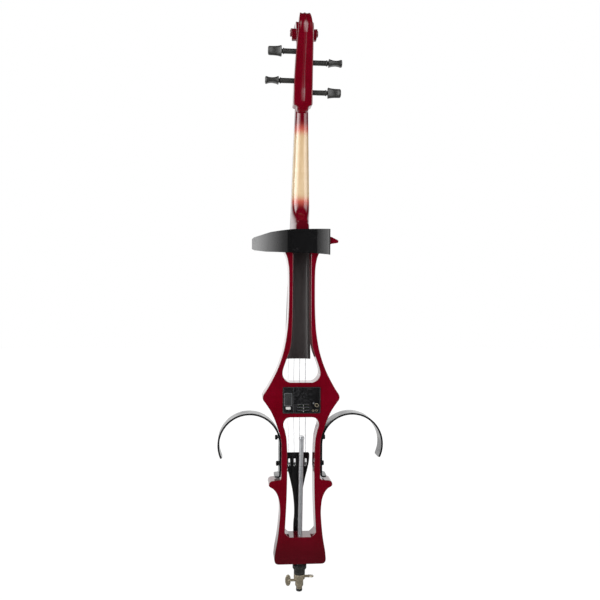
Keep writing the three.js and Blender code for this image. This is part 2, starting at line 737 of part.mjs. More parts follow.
// Fingerboard and nut
const boardTopAt = (x, z) => gluePlane(z) + seam + fingerboardEdge
  + sagitta(fingerboardCamber, neckWidth(z) / 2) - sagitta(fingerboardCamber, x);

function fingerboard() {
  const ring = (z) => {
    const half = neckWidth(z) / 2;
    const steps = 8;
    const top = Array.from({ length: steps + 1 }, (_, i) => {
      const x = half * (1 - 2 * i / steps);
      return new THREE.Vector3(x, boardTopAt(x, z), z);
    });
    return [...top, new THREE.Vector3(-half, gluePlane(z) + seam, z),
      new THREE.Vector3(half, gluePlane(z) + seam, z)];
  };
  const board = lofted([ring(fingerboardEnd), ring(nutHeight - seam)].map((r) => r.reverse()));
  const hollowTop = bodyTop - neckFootDrop - cutOverrun;
  const hollowRing = (z, rise) => {
    const half = neckWidth(z) / 2 - fingerboardEdge;
    return arc(0, 0, 1, 0, Math.PI, 8).map(([x, y]) => new THREE.Vector3(x * half,
      gluePlane(z) + (y > 0 ? y * rise : -cutOverrun), z)).reverse();
  };
  const hollow = lofted([
    hollowRing(fingerboardEnd - cutOverrun, fingerboardHollow),
    hollowRing(mix(fingerboardEnd, hollowTop, 0.8), fingerboardHollow),
    hollowRing(hollowTop, fingerboardHollow / 8),
  ]);
  return cut(board, hollow);
}
place('fingerboard', fingerboard(), 'ebony');

const nutTopAt = (x) => boardTopAt(x, nutHeight) + nutRise;
function nut() {
  const half = neckWidthAtNut / 2;
  const steps = 8;
  const ring = (z, drop) => [
    new THREE.Vector3(-half, gluePlane(nutHeight) + seam, z),
    new THREE.Vector3(half, gluePlane(nutHeight) + seam, z),
    ...Array.from({ length: steps + 1 }, (_, i) => {
      const x = half * (1 - 2 * i / steps);
      return new THREE.Vector3(x, nutTopAt(x) - drop, z);
    }),
  ];
  return lofted([
    ring(nutHeight, 0),
    ring(nutHeight + nutThickness / 2, nutRise / 3),
    ring(nutHeight + nutThickness, nutRise * 2),
  ]);
}
place('nut', nut(), 'ebony');

// Bridge, pickup and cable
const bridgeBase = bodyFront + seam + pickupThickness + seam;
const bridgeHeight = gluePlane(bridgeStation) + bridgeProjection - bridgeBase;
const bridgeOutlineShares = [[0.36, 0], [0.98, 0], [1, 0.045], [0.84, 0.12], [0.7, 0.2], [0.66, 0.34],
  [0.84, 0.47], [0.86, 0.55], [0.66, 0.585], [0.49, 0.63], [0.52, 0.7], [0.78, 0.76], [0.82, 0.81],
  [0.74, 0.87], [0.6, 0.935]];
const bridgeArchShares = [[0.3, 0.06], [0.25, 0.25], [0.14, 0.37]];
const bridgeTopAt = (x) => bridgeBase + bridgeHeight - sagitta(fingerboardCamber, x);

function bridge() {
  const at = ([x, y]) => [x * bridgeHalfWidth, bridgeBase + y * bridgeHeight];
  const topHalf = bridgeOutlineShares.at(-1)[0] * bridgeHalfWidth;
  const top = [0.75, 0.5, 0.25, 0].map((s) => [topHalf * s, bridgeTopAt(topHalf * s)]);
  const half = [...bridgeArchShares.map(at).reverse(), ...bridgeOutlineShares.map(at), ...top];
  const left = half.map(([x, y]) => [-x, y]).reverse().slice(1);
  const plate = throughZ([...half, ...left], bridgeStation - bridgeFootThickness,
    bridgeStation + bridgeFootThickness);
  const heart = arc(0, bridgeBase + bridgeHeight * 0.58, bridgeHalfWidth * 0.17, 0, turn * 11 / 12, 11);
  const foot = bridgeFootThickness / 2;
  const tip = bridgeTopThickness / 2;
  const taper = throughX([
    [bridgeBase - cutOverrun, bridgeStation - foot],
    [bridgeBase + bridgeHeight + cutOverrun, bridgeStation - tip],
    [bridgeBase + bridgeHeight + cutOverrun, bridgeStation + tip],
    [bridgeBase + bridgeHeight / 2, bridgeStation + mix(foot, tip, 0.5) - bridgeLeanBack / 2],
    [bridgeBase - cutOverrun, bridgeStation + foot],
  ].reverse(), -bridgeHalfWidth * 2, bridgeHalfWidth * 2);
  const hole = throughZ(heart, bridgeStation - bridgeFootThickness * 2,
    bridgeStation + bridgeFootThickness * 2);
  return cut(plate.intersect(taper), hole);
}
place('bridge', bridge(), 'bridgeMaple');

function bridgePickup() {
  const pad = (middle) => box(middle - pickupLength / 2, middle + pickupLength / 2,
    bodyFront + seam, bodyFront + seam + pickupThickness,
    bridgeStation - pickupWidth / 2, bridgeStation + pickupWidth / 2);
  const strip = box(-pickupMiddle, pickupMiddle, bodyFront + seam, bodyFront + seam + pickupThickness,
    bridgeStation - pickupWidth / 6, bridgeStation + pickupWidth / 6);
  return join(pad(pickupMiddle), pad(-pickupMiddle), strip);
}
place('bridge_pickup', bridgePickup(), 'brass');

function pickupCable() {
  const height = bodyFront + seam + cableRadius;
  const start = bridgeStation + pickupWidth / 2 + seam;
  const turnSteps = 4;
  const rounding = Array.from({ length: turnSteps + 1 }, (_, i) => {
    const angle = quarter * i / turnSteps;
    return new THREE.Vector3(cableX, height - cableBend * (1 - Math.cos(angle)),
      start + cableBend * Math.sin(angle));
  });
  const end = new THREE.Vector3(cableX, boardDepth + boardThickness + seam, cableHole);
  return tubeThrough([...rounding, end], cableRadius, 8);
}
place('pickup_cable', pickupCable(), 'blackPlastic');

// Tailpiece and its four fine tuners
const tailpieceHalfShares = [[0.31, 0], [0.36, 0.03], [0.365, 0.24], [0.3, 0.34], [0.29, 0.42],
  [0.325, 0.5], [0.42, 0.6], [0.51, 0.66], [0.69, 0.76], [0.83, 0.83], [0.94, 0.89], [0.995, 0.95],
  [0.985, 0.985], [0.9, 1]];
const tunerZ = tailpieceLength - tunerSlotFromTop;
const tunerScrewZ = tunerZ - tunerArm;
const tunerXs = [-1.5, -0.5, 0.5, 1.5].map((s) => s * stringSpreadTail / 3);

function tailpiece() {
  const marks = tailpieceHalfShares.map(([x, z]) => [x * tailpieceHalfWidth, z * tailpieceLength]);
  const half = flowing(marks, 18);
  let solid = throughY([...half, ...mirrored(half)], 0, tailpieceThickness, tailpieceRound, 1);
  for (const x of tunerXs) {
    solid = cut(solid,
      box(x - tunerSlotWidth / 2, x + tunerSlotWidth / 2, -cutOverrun, tailpieceThickness + cutOverrun,
        tunerZ - tunerSlotBelow, tunerZ + tunerSlotAbove),
      rod(boreRadius(tunerScrewRadius + seam, 10), [x, -cutOverrun, tunerScrewZ], yAxis,
        tailpieceThickness + 2 * cutOverrun, 10));
  }
  const cordHole = (side) => rod(tailCordRadius + 2 * seam,
    [side * tailCordSpread, tailpieceThickness / 2, -cutOverrun],
    zAxis, cutOverrun + tailCordRadius * 6, 8);
  return cut(solid, cordHole(1), cordHole(-1));
}
place('tailpiece', tailpiece(), 'blackPlastic', tail);

// A lever pivots in its slot: its fork holds the string's ball, its tail lies under the screw.
const leverPivotY = tailpieceThickness * 0.35;
const leverTopY = tailpieceThickness + tunerForkHeight;
const stringSeatY = tailpieceThickness + tunerForkHeight * 0.55;

function tunerLever(x, stringRadius) {
  const arm = tunerLeverThickness;
  const reach = tunerSlotBelow - 3 * seam;
  const profile = [
    [leverPivotY - arm, tunerZ - reach],
    [leverPivotY - arm, tunerZ + arm],
    [leverPivotY + arm, tunerZ + arm],
    [leverTopY, tunerZ + arm / 2],
    [leverTopY, tunerZ - arm / 2],
    [leverPivotY + arm, tunerZ - arm],
    [leverPivotY + arm / 2, tunerZ - reach],
  ];
  const upright = throughX(profile, x - arm / 2, x + arm / 2);
  const tailTop = -arm / 2 - seam;
  const rear = box(x - arm / 2, x + arm / 2, tailTop - arm, tailTop, tunerScrewZ - arm,
    tunerZ - reach + arm);
  const link = box(x - arm / 2, x + arm / 2, tailTop - arm, leverPivotY, tunerZ - reach,
    tunerZ - reach + arm);
  const head = box(x - arm, x + arm, tailpieceThickness + arm / 2, leverTopY, tunerZ - arm / 2,
    tunerZ + arm / 2);
  const gap = stringRadius + seam * 1.5;
  const slot = box(x - gap, x + gap, stringSeatY - gap, leverTopY + cutOverrun, tunerZ - arm * 2,
    tunerZ + arm * 2);
  return cut(join(upright, rear, link, head), slot);
}

function tunerScrew(x) {
  const tip = -tunerLeverThickness / 2;
  const under = tailpieceThickness + seam;
  const knob = under + tunerKnobHeight;
  return turned([
    [0, tip],
    [tunerScrewRadius, tip],
    [tunerScrewRadius, under],
    [tunerKnobRadius * 0.8, under],
    [tunerKnobRadius, under + tunerKnobHeight * 0.25],
    [tunerKnobRadius, knob - tunerKnobHeight * 0.15],
    [tunerKnobRadius * 0.8, knob],
    [0, knob],
  ], [x, 0, tunerScrewZ], yAxis, 10);
}

const tunerNames = pegs.map(({ name }) => name);
tunerXs.forEach((x, i) => {
  place(`fine_tuner_lever_${tunerNames[i]}`, tunerLever(x, stringDiameters[i] / 2), 'blackMetal', tail);
  place(`fine_tuner_screw_${tunerNames[i]}`, tunerScrew(x), 'blackMetal', tail);
});

// Strings: ball, fine tuner, bridge, nut and peg
const spread = (total, i) => total * (i / 3 - 0.5);

function pegGeometry(peg) {
  const radius = stringDiameters[peg.string] / 2;
  const cavityHalf = mix(pegboxCavityHalf, pegboxCavityHalfTop,
    (peg.z - nutHeight) / (pegs[1].z - nutHeight));
  const arriveX = peg.side * cavityHalf * 0.2;
  const pitch = 2 * radius + windingGap;
  // radius of the peg where the string arrives, from its taper
  const along = (pegShoulder - peg.side * arriveX) / pegRun;
  return { radius, arriveX, pitch, coil: pegTaperAt(along) + seam + radius };
}

// Where a line from a point in front touches the winding's circle.
function touchPoint(peg, coil, from) {
  const dy = from.y - peg.y;
  const dz = from.z - peg.z;
  const angle = Math.atan2(dz, dy) + Math.acos(coil / Math.hypot(dy, dz));
  return { angle, y: peg.y + coil * Math.cos(angle), z: peg.z + coil * Math.sin(angle) };
}

function nutPoint(i) {
  const x = spread(stringSpreadNut, i);
  const radius = stringDiameters[i] / 2;
  return new THREE.Vector3(x, nutTopAt(x) + radius + seam, nutHeight + seam);
}

pegs.forEach((peg) => {
  const i = peg.string;
  const { radius, arriveX, coil } = pegGeometry(peg);
  const bridgeX = spread(stringSpreadBridge, i);
  const top = nutPoint(i);
  const overNut = new THREE.Vector3(top.x, top.y - seam / 2, nutHeight + nutThickness / 2);
  const afterNut = new THREE.Vector3(top.x, top.y - 2 * nutRise + radius / 2 + seam,
    nutHeight + nutThickness + seam);
  const touch = touchPoint(peg, coil, afterNut);
  const bridgeY = bridgeTopAt(bridgeX) + radius + 3 * seam;
  const onBridge = new THREE.Vector3(bridgeX, bridgeY, bridgeStation);
  const fork = fromTail(tunerXs[i], stringSeatY, tunerZ + tunerLeverThickness);
  const ballFront = fromTail(tunerXs[i], stringSeatY, tunerZ - tunerLeverThickness / 2 - ballClearance);
  const back = ballFront.clone().sub(fork).normalize();
  const ballEnd = ballFront.clone().addScaledVector(back, ballLength);
  const string = tubeThrough([
    ballFront.clone().addScaledVector(back, ballLength / 2),
    fork, onBridge, top, overNut, afterNut, new THREE.Vector3(arriveX, touch.y, touch.z),
  ], radius, 6);
  const ballWay = ballEnd.clone().sub(ballFront).normalize();
  const ball = rod(ballRadius, ballFront.toArray(), ballWay, ballLength, 8);
  place(`string_${peg.name}`, join(string, ball), 'steel');
});

// Pegs, each with its string wound round it
function pegSolid({ side, y, z, flat, tip }) {
  const outward = xAxis.clone().multiplyScalar(side);
  const headStart = tip - pegHeadLength;
  const ringStart = headStart - pegRingLength;
  const farEnd = -pegShoulder;
  const shaft = turned([
    [0, farEnd],
    [pegTaperThin, farEnd],
    [pegTaperWide, pegShoulder],
    [pegTaperWide, ringStart - pegRingLength],
    [pegRingRadius, ringStart - pegRingLength / 2],
    [pegRingRadius, ringStart],
    [pegTaperThin, ringStart + pegRingLength / 3],
    [pegTaperThin, headStart + pegRingLength / 2],
    [0, headStart + pegRingLength / 2],
  ], [0, y, z], outward, 16);
  const widthShares = [[0, 0.9], [0.04, 1], [0.28, 0.88], [0.55, 0.82], [0.85, 0.8], [0.96, 0.68],
    [1, 0.48]];
  const depthShares = [[0, 0.88], [0.04, 1], [0.25, 0.78], [0.5, 0.68], [0.75, 0.8], [0.92, 0.94],
    [1, 0.7]];
  const along = (list, half) => {
    const upper = list.map(([a, w]) => [side * (headStart + a * pegHeadLength),
      w * half]);
    const closed = [...upper, ...upper.map(([a, w]) => [a, -w]).reverse()];
    return side > 0 ? closed.reverse() : closed;
  };
  const big = pegHeadHalfWidth * 2;
  const wide = along(widthShares, pegHeadHalfWidth);
  const deep = along(depthShares, pegHeadHalfThickness);
  const head = flat
    ? throughY(wide.map(([a, b]) => [a, b + z]), y - big, y + big)
      .intersect(throughZ(deep.map(([a, b]) => [a, b + y]), z - big, z + big))
    : throughZ(wide.map(([a, b]) => [a, b + y]), z - big, z + big)
      .intersect(throughY(deep.map(([a, b]) => [a, b + z]), y - big, y + big));
  return join(shaft, head);
}

// The winding lies beside the arriving string, and its ends run straight for one diameter.
function windingPoints(peg) {
  const { radius, arriveX, pitch, coil } = pegGeometry(peg);
  const top = nutPoint(peg.string);
  const touch = touchPoint(peg, coil, top);
  const steps = windingTurns * windingStepsPerTurn;
  const startX = arriveX + peg.side * pitch;
  const at = (i) => {
    const angle = touch.angle + turn * i / windingStepsPerTurn;
    return new THREE.Vector3(startX + peg.side * pitch * i / windingStepsPerTurn,
      peg.y + coil * Math.cos(angle), peg.z + coil * Math.sin(angle));
  };
  const loops = Array.from({ length: steps + 1 }, (_, i) => at(i));
  const run = 2 * radius;
  const first = loops[0].clone().addScaledVector(loops[0].clone().sub(loops[1]).normalize(), run);
  const last = loops.at(-1).clone().addScaledVector(loops.at(-1).clone().sub(loops.at(-2)).normalize(),
    run);
  return [first, ...loops, last];
}

// Least distance between two stretches of a winding that aren't next to each other.
function leastGap(points, diameter) {
  let least = Infinity;
  const apart = windingStepsPerTurn / 2;
  for (let i = 0; i < points.length; i += 1) {
    for (let j = i + apart; j < points.length; j += 1) {
      least = Math.min(least, points[i].distanceTo(points[j]) - diameter);
    }
  }
  return least;
}

for (const peg of pegs) {
  const points = windingPoints(peg);
  const diameter = stringDiameters[peg.string];
  place(`peg_${peg.name}`, pegSolid(peg), 'ebony');
  place(`string_winding_${peg.name}`, tubeThrough(points, diameter / 2, 6), 'steel');
  console.log(`least gap in the winding on peg ${peg.name}: ${leastGap(points, diameter).toFixed(2)} mm`);
}

// Saddle and tail cord
const saddleTop = bodyFront + saddleRise;
place('saddle', throughX([
  [bodyFront + seam, bodyBottom],
  [saddleTop - saddleRise / 3, bodyBottom],
  [saddleTop, bodyBottom + saddleRise / 3],
  [saddleTop, bodyBottom + saddleHeight * 0.7],
  [bodyFront + saddleRise / 3, bodyBottom + saddleHeight],
  [bodyFront + seam, bodyBottom + saddleHeight],
], -saddleHalfWidth, saddleHalfWidth), 'ebony');

const grooveHeight = bodyBottom - plugGrooveDrop;
function tailCord() {
  const round = plugGrooveRadius + tailCordRadius + 2 * seam;
  const clear = tailCordRadius + 2 * seam;
  const half = [
    fromTail(tailCordSpread, tailpieceThickness / 2, tailCordRadius * 4),
    fromTail(tailCordSpread, tailpieceThickness / 2, -tailCordRadius * 2),
    new THREE.Vector3(tailCordSpread, saddleTop + clear, bodyBottom + saddleHeight * 0.55),
    new THREE.Vector3(tailCordSpread, saddleTop - saddleRise / 6 + clear, bodyBottom - clear / 3),
    new THREE.Vector3(mix(tailCordSpread, round, 0.25), bodyFront + clear, bodyBottom - 2 * clear),
    new THREE.Vector3(mix(tailCordSpread, round, 0.7), mix(endpinForward, bodyFront, 0.5),
      grooveHeight + tailCordRadius),
    fromEndpin(round, tailCordRadius * 2, grooveHeight),
    fromEndpin(round * Math.cos(quarter * 0.4), -round * Math.sin(quarter * 0.4), grooveHeight),
    fromEndpin(round * Math.cos(quarter * 0.75), -round * Math.sin(quarter * 0.75), grooveHeight),
  ];
  const back = half.map((p) => new THREE.Vector3(-p.x, p.y, p.z)).reverse();
  return cordAlong([...half, fromEndpin(0, -round, grooveHeight), ...back], tailCordRadius, 6, 40);
}
place('tail_cord', tailCord(), 'blackPlastic');

// Endpin: plug in the body, collar below it, rod through both
const plugTop = bodyBottom + plugInsideLength;
const flangeTop = bodyBottom - 2 * seam - Math.sin(endpinTilt) * plugFlangeRadius;
const grooveLow = grooveHeight - tailCordRadius - seam;
const grooveHigh = grooveHeight + tailCordRadius + seam;
place('endpin_plug', turned([
  [rodRadius + seam, plugTop],
  [rodRadius + seam, plugHeight + collarSpigotLength + seam],
  [collarSpigotRadius + seam, plugHeight + collarSpigotLength + seam],
  [collarSpigotRadius + seam, plugHeight],
  [plugNarrowRadius, plugHeight],
  [plugNarrowRadius, flangeTop - plugFlangeLength - plugFlangeRadius / 4],
  [plugFlangeRadius, flangeTop - plugFlangeLength],
  [plugFlangeRadius, grooveLow],
  [plugGrooveRadius, grooveLow],
  [plugGrooveRadius, grooveHigh],
  [plugFlangeRadius, grooveHigh],
  [plugFlangeRadius, flangeTop],
  [plugInsideRadius, flangeTop],
  [plugInsideRadius - seam, plugTop],
  [rodRadius + seam, plugTop],
], [0, 0, 0], zAxis, 20), 'ebony', endpin);

const collarTop = plugHeight - seam;
function endpinCollar() {
  const bore = rodRadius + seam;
  const shell = turned([
    [bore, tipShoulder + seam],
    [nozzleRadius, tipShoulder + seam],
    [nozzleRadius + rodRadius / 5, collarNozzle - rodRadius / 5],
    [collarNarrowRadius, collarNozzle],
    [collarNarrowRadius, collarStep],
    [collarWideRadius, collarStep + rodRadius / 4],
    [collarWideRadius, collarTop],
    [collarSpigotRadius, collarTop],
    [collarSpigotRadius, plugHeight + collarSpigotLength],
    [bore, plugHeight + collarSpigotLength],
    [bore, tipShoulder + seam],
  ], [0, 0, 0], zAxis, 20);
  const hole = boreRadius(clampScrewRadius + seam, 10);
  return cut(shell,
    rod(hole, [0, 0, clampLowHeight], xAxis.clone().negate(), collarWideRadius * 2, 10),
    rod(hole, [0, 0, clampHighHeight], xAxis, collarWideRadius * 2, 10));
}
place('endpin_collar', endpinCollar(), 'nickel', endpin);

place('endpin_rod', turned([
  [0, tipWall + seam],
  [rodRadius * 0.8, tipWall + seam],
  [rodRadius, tipWall + seam + rodRadius * 0.2],
  [rodRadius, stopRingHeight],
  [stopRingRadius, stopRingHeight + rodRadius * 0.1],
  [stopRingRadius, stopRingHeight + stopRingWidth],
  [rodRadius, stopRingHeight + stopRingWidth + rodRadius * 0.1],
  [rodRadius, rodLength],
  [rodRadius * 0.8, rodLength + rodRadius * 0.2],
  [0, rodLength + rodRadius * 0.2],
], [0, 0, 0], zAxis, 16), 'steel', endpin);

place('endpin_tip', turned([
  [0, tipWall],
  [rodRadius + seam, tipWall],
  [rodRadius + seam, tipShoulder - seam],
  [tipRadius, tipShoulder - seam],
  [tipRadius, tipShoulder / 3],
  [tipRadius * 0.8, 0],
  [0, 0],
].reverse(), [0, 0, 0], zAxis, 20), 'rubber', endpin);

function clampScrew(side, height, faceRadius) {
  const outward = xAxis.clone().multiplyScalar(side);
  const shaft = rod(clampScrewRadius, [side * (rodRadius + seam), 0, height], outward,
    wingStart + wingReach / 2 - rodRadius, 10);
  const washer = rod(clampScrewRadius * 1.6, [side * (faceRadius + seam), 0, height], outward,
    wingStart - faceRadius - seam, 10);
  const half = wingHeight / 2;
  const wing = [
    [wingStart, -half * 0.55], [wingStart + wingReach * 0.35, -half],
    [wingStart + wingReach * 0.8, -half * 0.85],
    [wingStart + wingReach, -half * 0.3], [wingStart + wingReach, half * 0.3],
    [wingStart + wingReach * 0.8, half * 0.85], [wingStart + wingReach * 0.35, half],
    [wingStart, half * 0.55],
  ];
  return { shaft: join(shaft, washer), wing: wing.map(([x, across]) => [side * x, across]) };
}
const lowScrew = clampScrew(-1, clampLowHeight, collarNarrowRadius);
const highScrew = clampScrew(1, clampHighHeight, collarWideRadius);
place('endpin_clamp_screw_left', join(lowScrew.shaft, throughY(
  lowScrew.wing.map(([x, z]) => [x, z + clampLowHeight]), -wingThickness / 2, wingThickness / 2)),
'nickel', endpin);
const highTaper = throughY([
  [wingStart - seam, clampHighHeight - wingRootShare * wingThickness / 2],
  [wingStart + wingReach, clampHighHeight - wingThickness / 2],
  [wingStart + wingReach, clampHighHeight + wingThickness / 2],
  [wingStart - seam, clampHighHeight + wingRootShare * wingThickness / 2],
], -wingHeight, wingHeight);
const highWing = throughZ(highScrew.wing, clampHighHeight - wingThickness, clampHighHeight + wingThickness)
  .intersect(highTaper).translate([0, 0, -clampHighHeight]).rotate([-highWingTurnDeg, 0, 0])
  .translate([0, 0, clampHighHeight]);
place('endpin_clamp_screw_right', join(highScrew.shaft, highWing), 'nickel', endpin);

// Knee rests: a flat strip with a short foot, a straight leg and most of a circle
function kneeArm(side) {
  const inner = armRadius - armThickness / 2;
  const outer = armRadius + armThickness / 2;
  const sweep = armSweepDeg * degree;
  const legOut = armMiddleX - inner;
  const legIn = armMiddleX - outer;
  const bendX = legIn + armThickness / 2 + armFootBend;
  const bendZ = armFootHeight + armFootBend;
  const footEnd = legIn + armFootLength;
  const steps = 26;
  const band = [
    [footEnd, armFootHeight - armThickness / 2],
    ...arc(bendX, bendZ, armFootBend + armThickness / 2, 3 * quarter, 2 * quarter, 3),
    ...arc(armMiddleX, armCentre, outer, 2 * quarter, 2 * quarter - sweep, steps),
    ...arc(armMiddleX, armCentre, inner, 2 * quarter - sweep, 2 * quarter, steps),
    [legOut, bendZ],
    ...arc(bendX, bendZ, armFootBend - armThickness / 2, 2 * quarter, 3 * quarter, 3).slice(1),
    [footEnd, armFootHeight + armThickness / 2],
  ].map(([x, z]) => [side * x, z]);
  const strip = throughY(band, armFromBack, armFromBack + armWidth);
  const outward = xAxis.clone().multiplyScalar(side);
  const holes = armScrewHeights.map((z) => rod(boreRadius(armScrewRadius + seam, 12),
    [side * bodyHalfWidth / 3, armMiddleY, z], outward, bodyHalfWidth / 2, 12));
  return cut(strip, ...holes);
}
place('knee_rest_left', kneeArm(-1), 'blackMetal');
place('knee_rest_right', kneeArm(1), 'blackMetal');

function kneeScrew(side, z) {
  const face = armOuter + armDrift(z + knobRadius) + seam;
  const start = insertOuter(z) - insertLength;
  return turned([
    [0, start],
    [armScrewRadius, start],
    [armScrewRadius, face],
    [knobRadius * 0.85, face],
    [knobRadius, face + knobLength * 0.15],
    [knobRadius, face + knobLength * 0.85],
    [knobRadius * 0.85, face + knobLength],
    [0, face + knobLength],
  ], [0, armMiddleY, z], xAxis.clone().multiplyScalar(side), 12);
}
// A threaded insert in the body holds each of them.
function kneeInsert(side, z) {
  const end = insertOuter(z) - seam;
  const start = insertOuter(z) - insertLength;
  const bore = boreRadius(armScrewRadius + seam, 12);
  return turned([
    [bore, start], [insertRadius, start], [insertRadius, end], [bore, end], [bore, start],
  ], [0, armMiddleY, z], xAxis.clone().multiplyScalar(side), 12);
}
const sideNames = { '-1': 'left', 1: 'right' };
const screwNames = ['upper', 'lower'];
for (const side of [-1, 1]) {
  armScrewHeights.forEach((z, i) => {
    place(`knee_screw_${screwNames[i]}_${sideNames[side]}`, kneeScrew(side, z), 'blackPlastic');
    place(`knee_insert_${screwNames[i]}_${sideNames[side]}`, kneeInsert(side, z), 'brass');
  });
}


// Chest rest: a curved plate that hangs on a dovetail rail
const chestBack = -chestStandOff - chestThickness;
const chestEdgeShares = [[1, 0], [0.35, 0.048], [-0.24, 0.055], [-0.72, 0.091]];
const chestTipShares = [[-0.95, 0.155], [-1, 0.21], [-1, 0.59], [-0.965, 0.655]];
const chestTopShares = [[-0.85, 0.72], [-0.64, 0.845], [-0.44, 0.905], [-0.2, 0.962], [1, 1]];

function chestRest() {
  const wingHalf = chestWingRadius * 2;
  const reach = chestLeft - chestFlatHalf;
  const sweep = Math.asin(reach / (chestWingRadius - chestThickness / 2));
  const middleY = chestBack + chestWingRadius;
  const bendX = chestRight - chestBend;
  const plan = [
    ...arc(-chestFlatHalf, middleY, chestWingRadius, 3 * quarter - sweep, 3 * quarter, 9),
    ...arc(bendX, chestBack + chestBend, chestBend, 3 * quarter, turn, 4),
    [chestRight, chestBack + chestFlange],
    [chestRight - chestThickness, chestBack + chestFlange],
    ...arc(bendX, chestBack + chestBend, chestBend - chestThickness, turn, 3 * quarter, 3),
    ...arc(-chestFlatHalf, middleY, chestWingRadius - chestThickness, 3 * quarter, 3 * quarter - sweep, 9),
  ];
  const low = bodyTop - chestDrop;
  const at = ([x, z]) => [x > 0 ? x * chestRight : x * chestLeft, low + z * chestHeight];
  const edge = [...chestEdgeShares, ...chestTipShares, ...chestTopShares].map(at);
  const blank = throughZ(plan, low - cutOverrun, low + chestHeight + cutOverrun);
  let solid = blank.intersect(throughY(edge.reverse(), -wingHalf, wingHalf));
  // the channel that slides over the rail, closed at its top
  const slope = (railHalfWidth - railNarrowHalf) / (chestStandOff - 2 * seam);
  const lipEnd = railHalfWidth - slope * (chestStandOff - railLip) + 2 * seam;
  const lip = [
    [railHalfWidth + 2 * seam, -chestStandOff - seam],
    [railHalfWidth + railLip, -chestStandOff - seam],
    [railHalfWidth + railLip, -railLip],
    [lipEnd, -railLip],
  ];
  const capHalf = railHalfWidth + railLip;
  solid = join(solid,
    throughZ(lip, railBottom, railTop + seam + chestThickness),
    throughZ(lip.map(([x, y]) => [-x, y]).reverse(), railBottom, railTop + seam + chestThickness),
    box(-capHalf, capHalf, -chestStandOff - seam, -railLip,
      railTop + seam, railTop + seam + chestThickness));
  return solid;
}
place('chest_rest', chestRest(), 'blackPlastic');

function chestRail() {
  const wide = -chestStandOff + seam;
  const rail = throughZ([
    [-railNarrowHalf, -seam], [-railHalfWidth, wide], [railHalfWidth, wide], [railNarrowHalf, -seam],
  ], railBottom, railTop);
  const pins = [-1, 1].map((side) => rod(railPinRadius,
    [side * railPinSpacing / 2, wide / 2, railScrewHeight],
    yAxis, railPinLength - wide / 2, 10));
  const hole = turned([
    [0, -cutOverrun],
    [railScrewHead + seam, -cutOverrun],
    [railScrewHead + seam, seam],
    [railScrewRadius + seam, railScrewHead - railScrewRadius + seam],
    [railScrewRadius + seam, chestStandOff + cutOverrun],
    [0, chestStandOff + cutOverrun],
  ], [0, wide, railScrewHeight], yAxis, 12);
  return cut(join(rail, ...pins), hole);
}
place('chest_rest_rail', chestRail(), 'blackPlastic');

place('chest_rest_rail_screw', turned([
  [0, seam],
  [railScrewHead, seam],
  [railScrewRadius, seam + railScrewHead - railScrewRadius],
  [railScrewRadius, railScrewLength],
  [0, railScrewLength],
], [0, -chestStandOff + seam, railScrewHeight], yAxis, 10), 'blackMetal');

// Preamp: housing with its battery bay, door, sliders, button and jacks
const tray = { x0: cavity.x0 + seam, x1: cavity.x1 - seam, z0: cavity.z0 + seam, z1: cavity.z1 - seam };
const inside = {
  x0: tray.x0 + trayWall, x1: tray.x1 - trayWall, z0: tray.z0 + trayWall, z1: tray.z1 - trayWall,
};
const panelFace = -seam - panelThickness;
const panelInner = -seam;
const faderZs = [0, 1, 2].map((i) => panelMiddle - faderDrop - i * faderPitch);
const onPanel = ({ x, drop }) => ({ x, z: panelMiddle - drop });
const jackSpot = onPanel(jackPlace);
const buttonSpot = onPanel(buttonPlace);
const smallJackSpots = Object.entries(smallJackPlaces).map(([name, spot]) => ({ name, ...onPanel(spot) }));
const bay = { x0: inside.x0, x1: inside.x0 + bayWidth, z0: inside.z0, z1: inside.z1 };
const door = { x0: bay.x0 + seam, x1: bay.x1 - seam, z0: bay.z0 + doorMargin, z1: bay.z1 - doorMargin };

function preampHousing() {
  const x0 = panelOffset - panelHalfWidth;
  const x1 = panelOffset + panelHalfWidth;
  const z0 = panelMiddle - panelHalfHeight;
  const z1 = panelMiddle + panelHalfHeight;
  const plate = throughY(roundedBox(x0, x1, z0, z1, panelCorner), panelFace, panelInner);
  const walls = cut(
    box(tray.x0, tray.x1, panelFace + trayWall, trayDepth, tray.z0, tray.z1),
    box(bay.x0, bay.x1, panelInner, trayDepth - trayFloor, bay.z0, bay.z1),
    box(bay.x1 + trayWall, inside.x1, panelInner, trayDepth + cutOverrun, inside.z0, inside.z1));
  const faders = faderZs.map((z) => box(
    faderMiddle - faderTravelLength / 2, faderMiddle + faderTravelLength / 2,
    panelFace - cutOverrun, cutOverrun, z - faderSlotWidth / 2, z + faderSlotWidth / 2));
  const ringHoles = [
    rod(jackRing + seam, [jackSpot.x, -cutOverrun * 2, jackSpot.z], yAxis, cutOverrun * 3, 16),
    ...smallJackSpots.map(({ x, z }) => rod(smallJackRing + seam, [x, -cutOverrun * 2, z], yAxis,
      cutOverrun * 3, 12)),
    rod(boreRadius(buttonRadius + seam, 12), [buttonSpot.x, -cutOverrun * 2, buttonSpot.z], yAxis,
      cutOverrun * 3, 12),
  ];
  const doorway = box(bay.x0, bay.x1, -cutOverrun * 2, cutOverrun, door.z0 - seam, door.z1 + seam);
  return cut(join(plate, walls), ...faders, ...ringHoles, doorway);
}
place('preamp_housing', preampHousing(), 'blackPlastic');

// The door turns on its rounded upper edge.
function batteryDoor() {
  const radius = doorThickness / 2;
  const middleY = panelFace + radius;
  const profile = [
    [middleY - radius, door.z0],
    [middleY + radius, door.z0],
    ...arc(middleY, door.z1 - radius, radius, 0, Math.PI, 6),
  ];
  return throughX(profile, door.x0, door.x1);
}
place('battery_door', batteryDoor(), 'greyPlastic');

